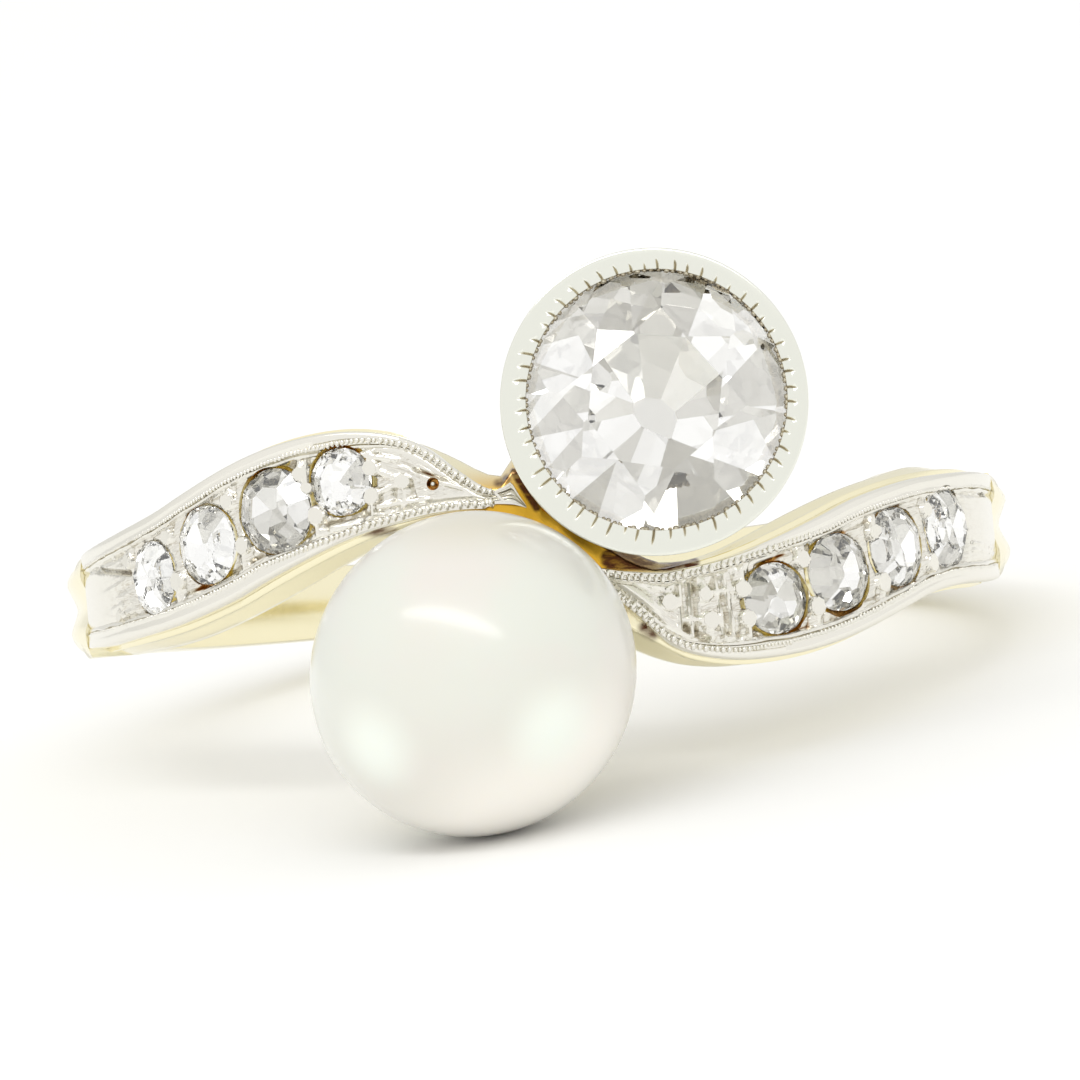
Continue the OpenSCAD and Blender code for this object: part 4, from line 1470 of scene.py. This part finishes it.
def cut_stone(name, diameter, facets, ends, rng, culet=Vector((0, 0))):
    """A stone cut out of a disc, facet by facet, each a little out of true."""
    r, band = diameter / 2, diameter * GIRDLE_SHARE
    up, down = (share * diameter + band for share in ends)
    bpy.ops.mesh.primitive_cylinder_add(
        vertices=STONE_SIDES, radius=r, depth=up + down, location=(0, 0, (up - down) / 2)
    )
    stone = named(name)
    editing(stone)
    for count, first, slope, reach, on_table in facets:
        for k in range(count):
            turn = math.radians(first + FULL_TURN * k / count + rng.uniform(-TURN_SLACK, TURN_SLACK))
            lean = math.radians(abs(slope) + rng.uniform(-SLOPE_SLACK, SLOPE_SLACK))
            side = Vector((math.cos(turn), math.sin(turn)))
            front = 1 if slope > 0 else -1
            if slope < 0:
                lean = math.atan(math.tan(lean) * r / (r - culet.dot(side)))
            place = Vector((*side * r * reach, front * (up if on_table else band)))
            cut_facet(place, Vector((*side * math.sin(lean), front * math.cos(lean))))
    bpy.ops.object.mode_set(mode="OBJECT")
    close_up(stone)
    foil, tone = (stone.data.attributes.new(name, "FLOAT", "FACE").data for name in ("foil", "tone"))
    for face in stone.data.polygons:
        foil[face.index].value = 1 if face.normal.z < BACK_NORMAL else 0
        # Painted shade of each face, read for the back facets.
        tone[face.index].value = rng.random()
    return stone


class RING_OT_diamonds(bpy.types.Operator):
    """Cuts the main diamond and the small ones of the shoulders"""

    bl_idname = "ring.diamonds"
    bl_label = "Diamonds"

    def execute(self, context):
        glass = diamond(context.scene.ring_colours)
        rng = random.Random(DIAMOND_SEED)
        size = HEAD_STONE_HIGH.x - HEAD_STONE_LOW.x
        stone = cut_stone("main_diamond", size, HEAD_FACETS, HEAD_ENDS, rng, HEAD_CULET)
        girdle = HEAD_STONE_HIGH.z - size * (HEAD_ENDS[0] + GIRDLE_SHARE)
        turn = Matrix.Rotation(math.radians(HEAD_TURN), 4, "Z")
        put(stone, head_place(COLLET_CENTRE, girdle) @ turn)
        finish_piece(stone, glass, "diamond", "centre_diamond")
        for side, rows in STONES.items():
            for number, row in enumerate(rows, 1):
                stone = cut_stone(f"small_diamond_{side}_{number}", row[SIZE], SMALL_FACETS, SMALL_ENDS, rng)
                put(stone, stone_place(side, row) @ Matrix.Rotation(rng.uniform(0, math.pi / 4), 4, "Z"))
                finish_piece(stone, glass, "diamond", f"shoulder_diamond_{side}_{number}")
        return {"FINISHED"}


PEARL_LONG, PEARL_SHORT, PEARL_HEADING = 1.017, 0.988, 38
PEARL_SEGMENTS, PEARL_RINGS, DRILLED_R = 96, 64, PEG_R + 0.08


class RING_OT_pearl(bpy.types.Operator):
    """Models the pearl, a little longer one way, with its drilled hole"""

    bl_idname = "ring.pearl"
    bl_label = "Pearl"

    def execute(self, context):
        bpy.ops.mesh.primitive_uv_sphere_add(segments=PEARL_SEGMENTS, ring_count=PEARL_RINGS, radius=PEARL_R)
        piece = named("cream_pearl")
        mesh = editing(piece)
        for corner in mesh.verts:
            if corner.co.z < 0 and corner.co.xy.length < DRILLED_R:
                corner.select_set(True)
        mesh.select_flush(True)
        bpy.ops.mesh.extrude_region_move(TRANSFORM_OT_translate={"value": (0, 0, PEG_H + GAP)})
        bpy.ops.mesh.select_all(action="SELECT")
        bpy.ops.transform.resize(value=(PEARL_LONG, PEARL_SHORT, 1), center_override=(0, 0, 0))
        bpy.ops.object.mode_set(mode="OBJECT")
        put(piece, Matrix.Translation(PEARL_CENTRE) @ Matrix.Rotation(math.radians(PEARL_HEADING), 4, "Z"))
        smooth(piece, PEARL_CREASE)
        finish_piece(piece, pearl(context.scene.ring_colours), "pearl", "pearl")
        return {"FINISHED"}


# The photograph's view: camera axis tilted from the head's by these angles, and turned about itself.
SIGHT_ASIDE, SIGHT_DOWN, SIGHT_ROLL = 1.0, 2.5, 5.33
FRAME_PX, FOCAL_PX, ORIGIN_X_PX, ORIGIN_Y_PX = 1080, 14430, 538.5, 567.5
SENSOR_MM = 36


def picture_axes():
    """The photograph's right, up and towards the camera, as the columns of a matrix in the ring frame."""
    aside, down = math.radians(SIGHT_ASIDE), math.radians(SIGHT_DOWN)
    towards = Vector((-math.sin(aside), -math.sin(down), 1)).normalized()
    right = Vector((0, 1, 0)).cross(towards).normalized()
    up = towards.cross(right)
    roll = math.radians(SIGHT_ROLL)
    image_right = right * math.cos(roll) - up * math.sin(roll)
    image_up = right * math.sin(roll) + up * math.cos(roll)
    return Matrix((image_right, image_up, towards)).transposed()


def add_camera(distance):
    camera = bpy.data.objects.new("camera", bpy.data.cameras.new("camera"))
    bpy.context.scene.collection.objects.link(camera)
    axes = picture_axes()
    camera.matrix_world = LYING @ Matrix.Translation(axes.col[2] * distance) @ axes.to_4x4()
    camera.data.sensor_width = SENSOR_MM
    camera.data.lens = FOCAL_PX / FRAME_PX * SENSOR_MM
    camera.data.shift_x = 0.5 - ORIGIN_X_PX / FRAME_PX
    camera.data.shift_y = ORIGIN_Y_PX / FRAME_PX - 0.5
    bpy.context.scene.camera = camera


LIGHT_BOUNCES = 24
# The oval light over the ring, in metres and the picture's axes: place, way of its length, size and radiance.
LIGHT_PLACE, LIGHT_WAY = (-0.123, 0.326, 0.372), (0.888, -0.157, 0.431)
LIGHT_SIZE, RADIANCE = (0.75, 0.09), 3.0
# How far ahead a direction lies, from which the surroundings brighten and are at their brightest.
BRIGHT_FROM, BRIGHT_FULL = -0.9, 0.2
TABLE_SIZE = 3


def softbox(name, place, length_way, size, radiance):
    """A soft oval light that faces the ring, with its place and direction given in the picture's axes."""
    data = bpy.data.lights.new(name, "AREA")
    data.shape = "ELLIPSE"
    data.size, data.size_y = size
    data.energy = radiance * math.pi * data.size * data.size_y
    axes = LYING.to_3x3() @ picture_axes()
    place = axes @ Vector(place)
    back = place.normalized()
    across = back.cross(axes @ Vector(length_way)).normalized()
    light = bpy.data.objects.new(name, data)
    turn = Matrix((across.cross(back), across, back)).transposed()
    light.matrix_world = Matrix.Translation(place) @ turn.to_4x4()
    bpy.context.scene.collection.objects.link(light)


def studio(air, behind):
    """Soft light from all round, brightest from where the head faces."""
    paint = Paint(bpy.data.worlds.new("studio"), "Background")
    direction = paint.node("ShaderNodeNewGeometry", output="Position")
    ahead = paint.vector("DOT_PRODUCT", {0: direction, 1: LYING.to_3x3() @ Vector((0, 0, 1))}, "Value")
    brightness = paint.step(ahead, BRIGHT_FROM, BRIGHT_FULL)
    return paint.finish(Color=paint.blend(brightness, rgba(behind), rgba(air)))


class RING_OT_stage(bpy.types.Operator):
    """Sets the table, the lights and the camera"""

    bl_idname = "ring.stage"
    bl_label = "Table, Lights and Camera"

    def execute(self, context):
        scene = context.scene
        settings = scene.ring_stage
        bpy.ops.object.select_all(action="DESELECT")
        bpy.ops.mesh.primitive_plane_add(size=TABLE_SIZE, location=(0, 0, CAD_BOX[0][2]))
        table = named("table_top")
        bpy.ops.object.transform_apply(location=True)
        table.data.materials.append(table_top(settings.table))
        add_camera(settings.distance)
        softbox("top_light", LIGHT_PLACE, LIGHT_WAY, LIGHT_SIZE, RADIANCE)
        scene.world = studio(settings.air, settings.behind)
        scene.view_settings.view_transform = "Standard"
        scene.cycles.max_bounces = LIGHT_BOUNCES
        scene.cycles.glossy_bounces = LIGHT_BOUNCES
        scene.cycles.transmission_bounces = LIGHT_BOUNCES
        return {"FINISHED"}


GROUPS = {"ring_colours": RingColours, "ring_sizes": RingSizes, "ring_stage": RingStage}
OPERATORS = (
    RING_OT_gold_hoop, RING_OT_facings, RING_OT_collet, RING_OT_diamonds, RING_OT_pearl, RING_OT_stage,
)


class RING_PT_workshop(bpy.types.Panel):
    """Lists the ring's pieces and their sizes and colours"""

    bl_label = "Crossover Ring"
    bl_space_type = "VIEW_3D"
    bl_region_type = "UI"
    bl_category = "Ring"

    def draw(self, context):
        for operator in OPERATORS:
            self.layout.operator(operator.bl_idname)
        for group, kind in GROUPS.items():
            for name in kind.__annotations__:
                self.layout.prop(getattr(context.scene, group), name)


def register():
    for kind in (*GROUPS.values(), *OPERATORS, RING_PT_workshop):
        bpy.utils.register_class(kind)
    for group, kind in GROUPS.items():
        setattr(bpy.types.Scene, group, bpy.props.PointerProperty(type=kind))


def unregister():
    for group in GROUPS:
        delattr(bpy.types.Scene, group)
    for kind in (RING_PT_workshop, *reversed(OPERATORS), *GROUPS.values()):
        bpy.utils.unregister_class(kind)


def main():
    register()
    bpy.ops.ring.gold_hoop()
    bpy.ops.ring.facings()
    bpy.ops.ring.collet()
    bpy.ops.ring.diamonds()
    bpy.ops.ring.pearl()
    bpy.ops.ring.stage()


if __name__ == "__main__":
    main()
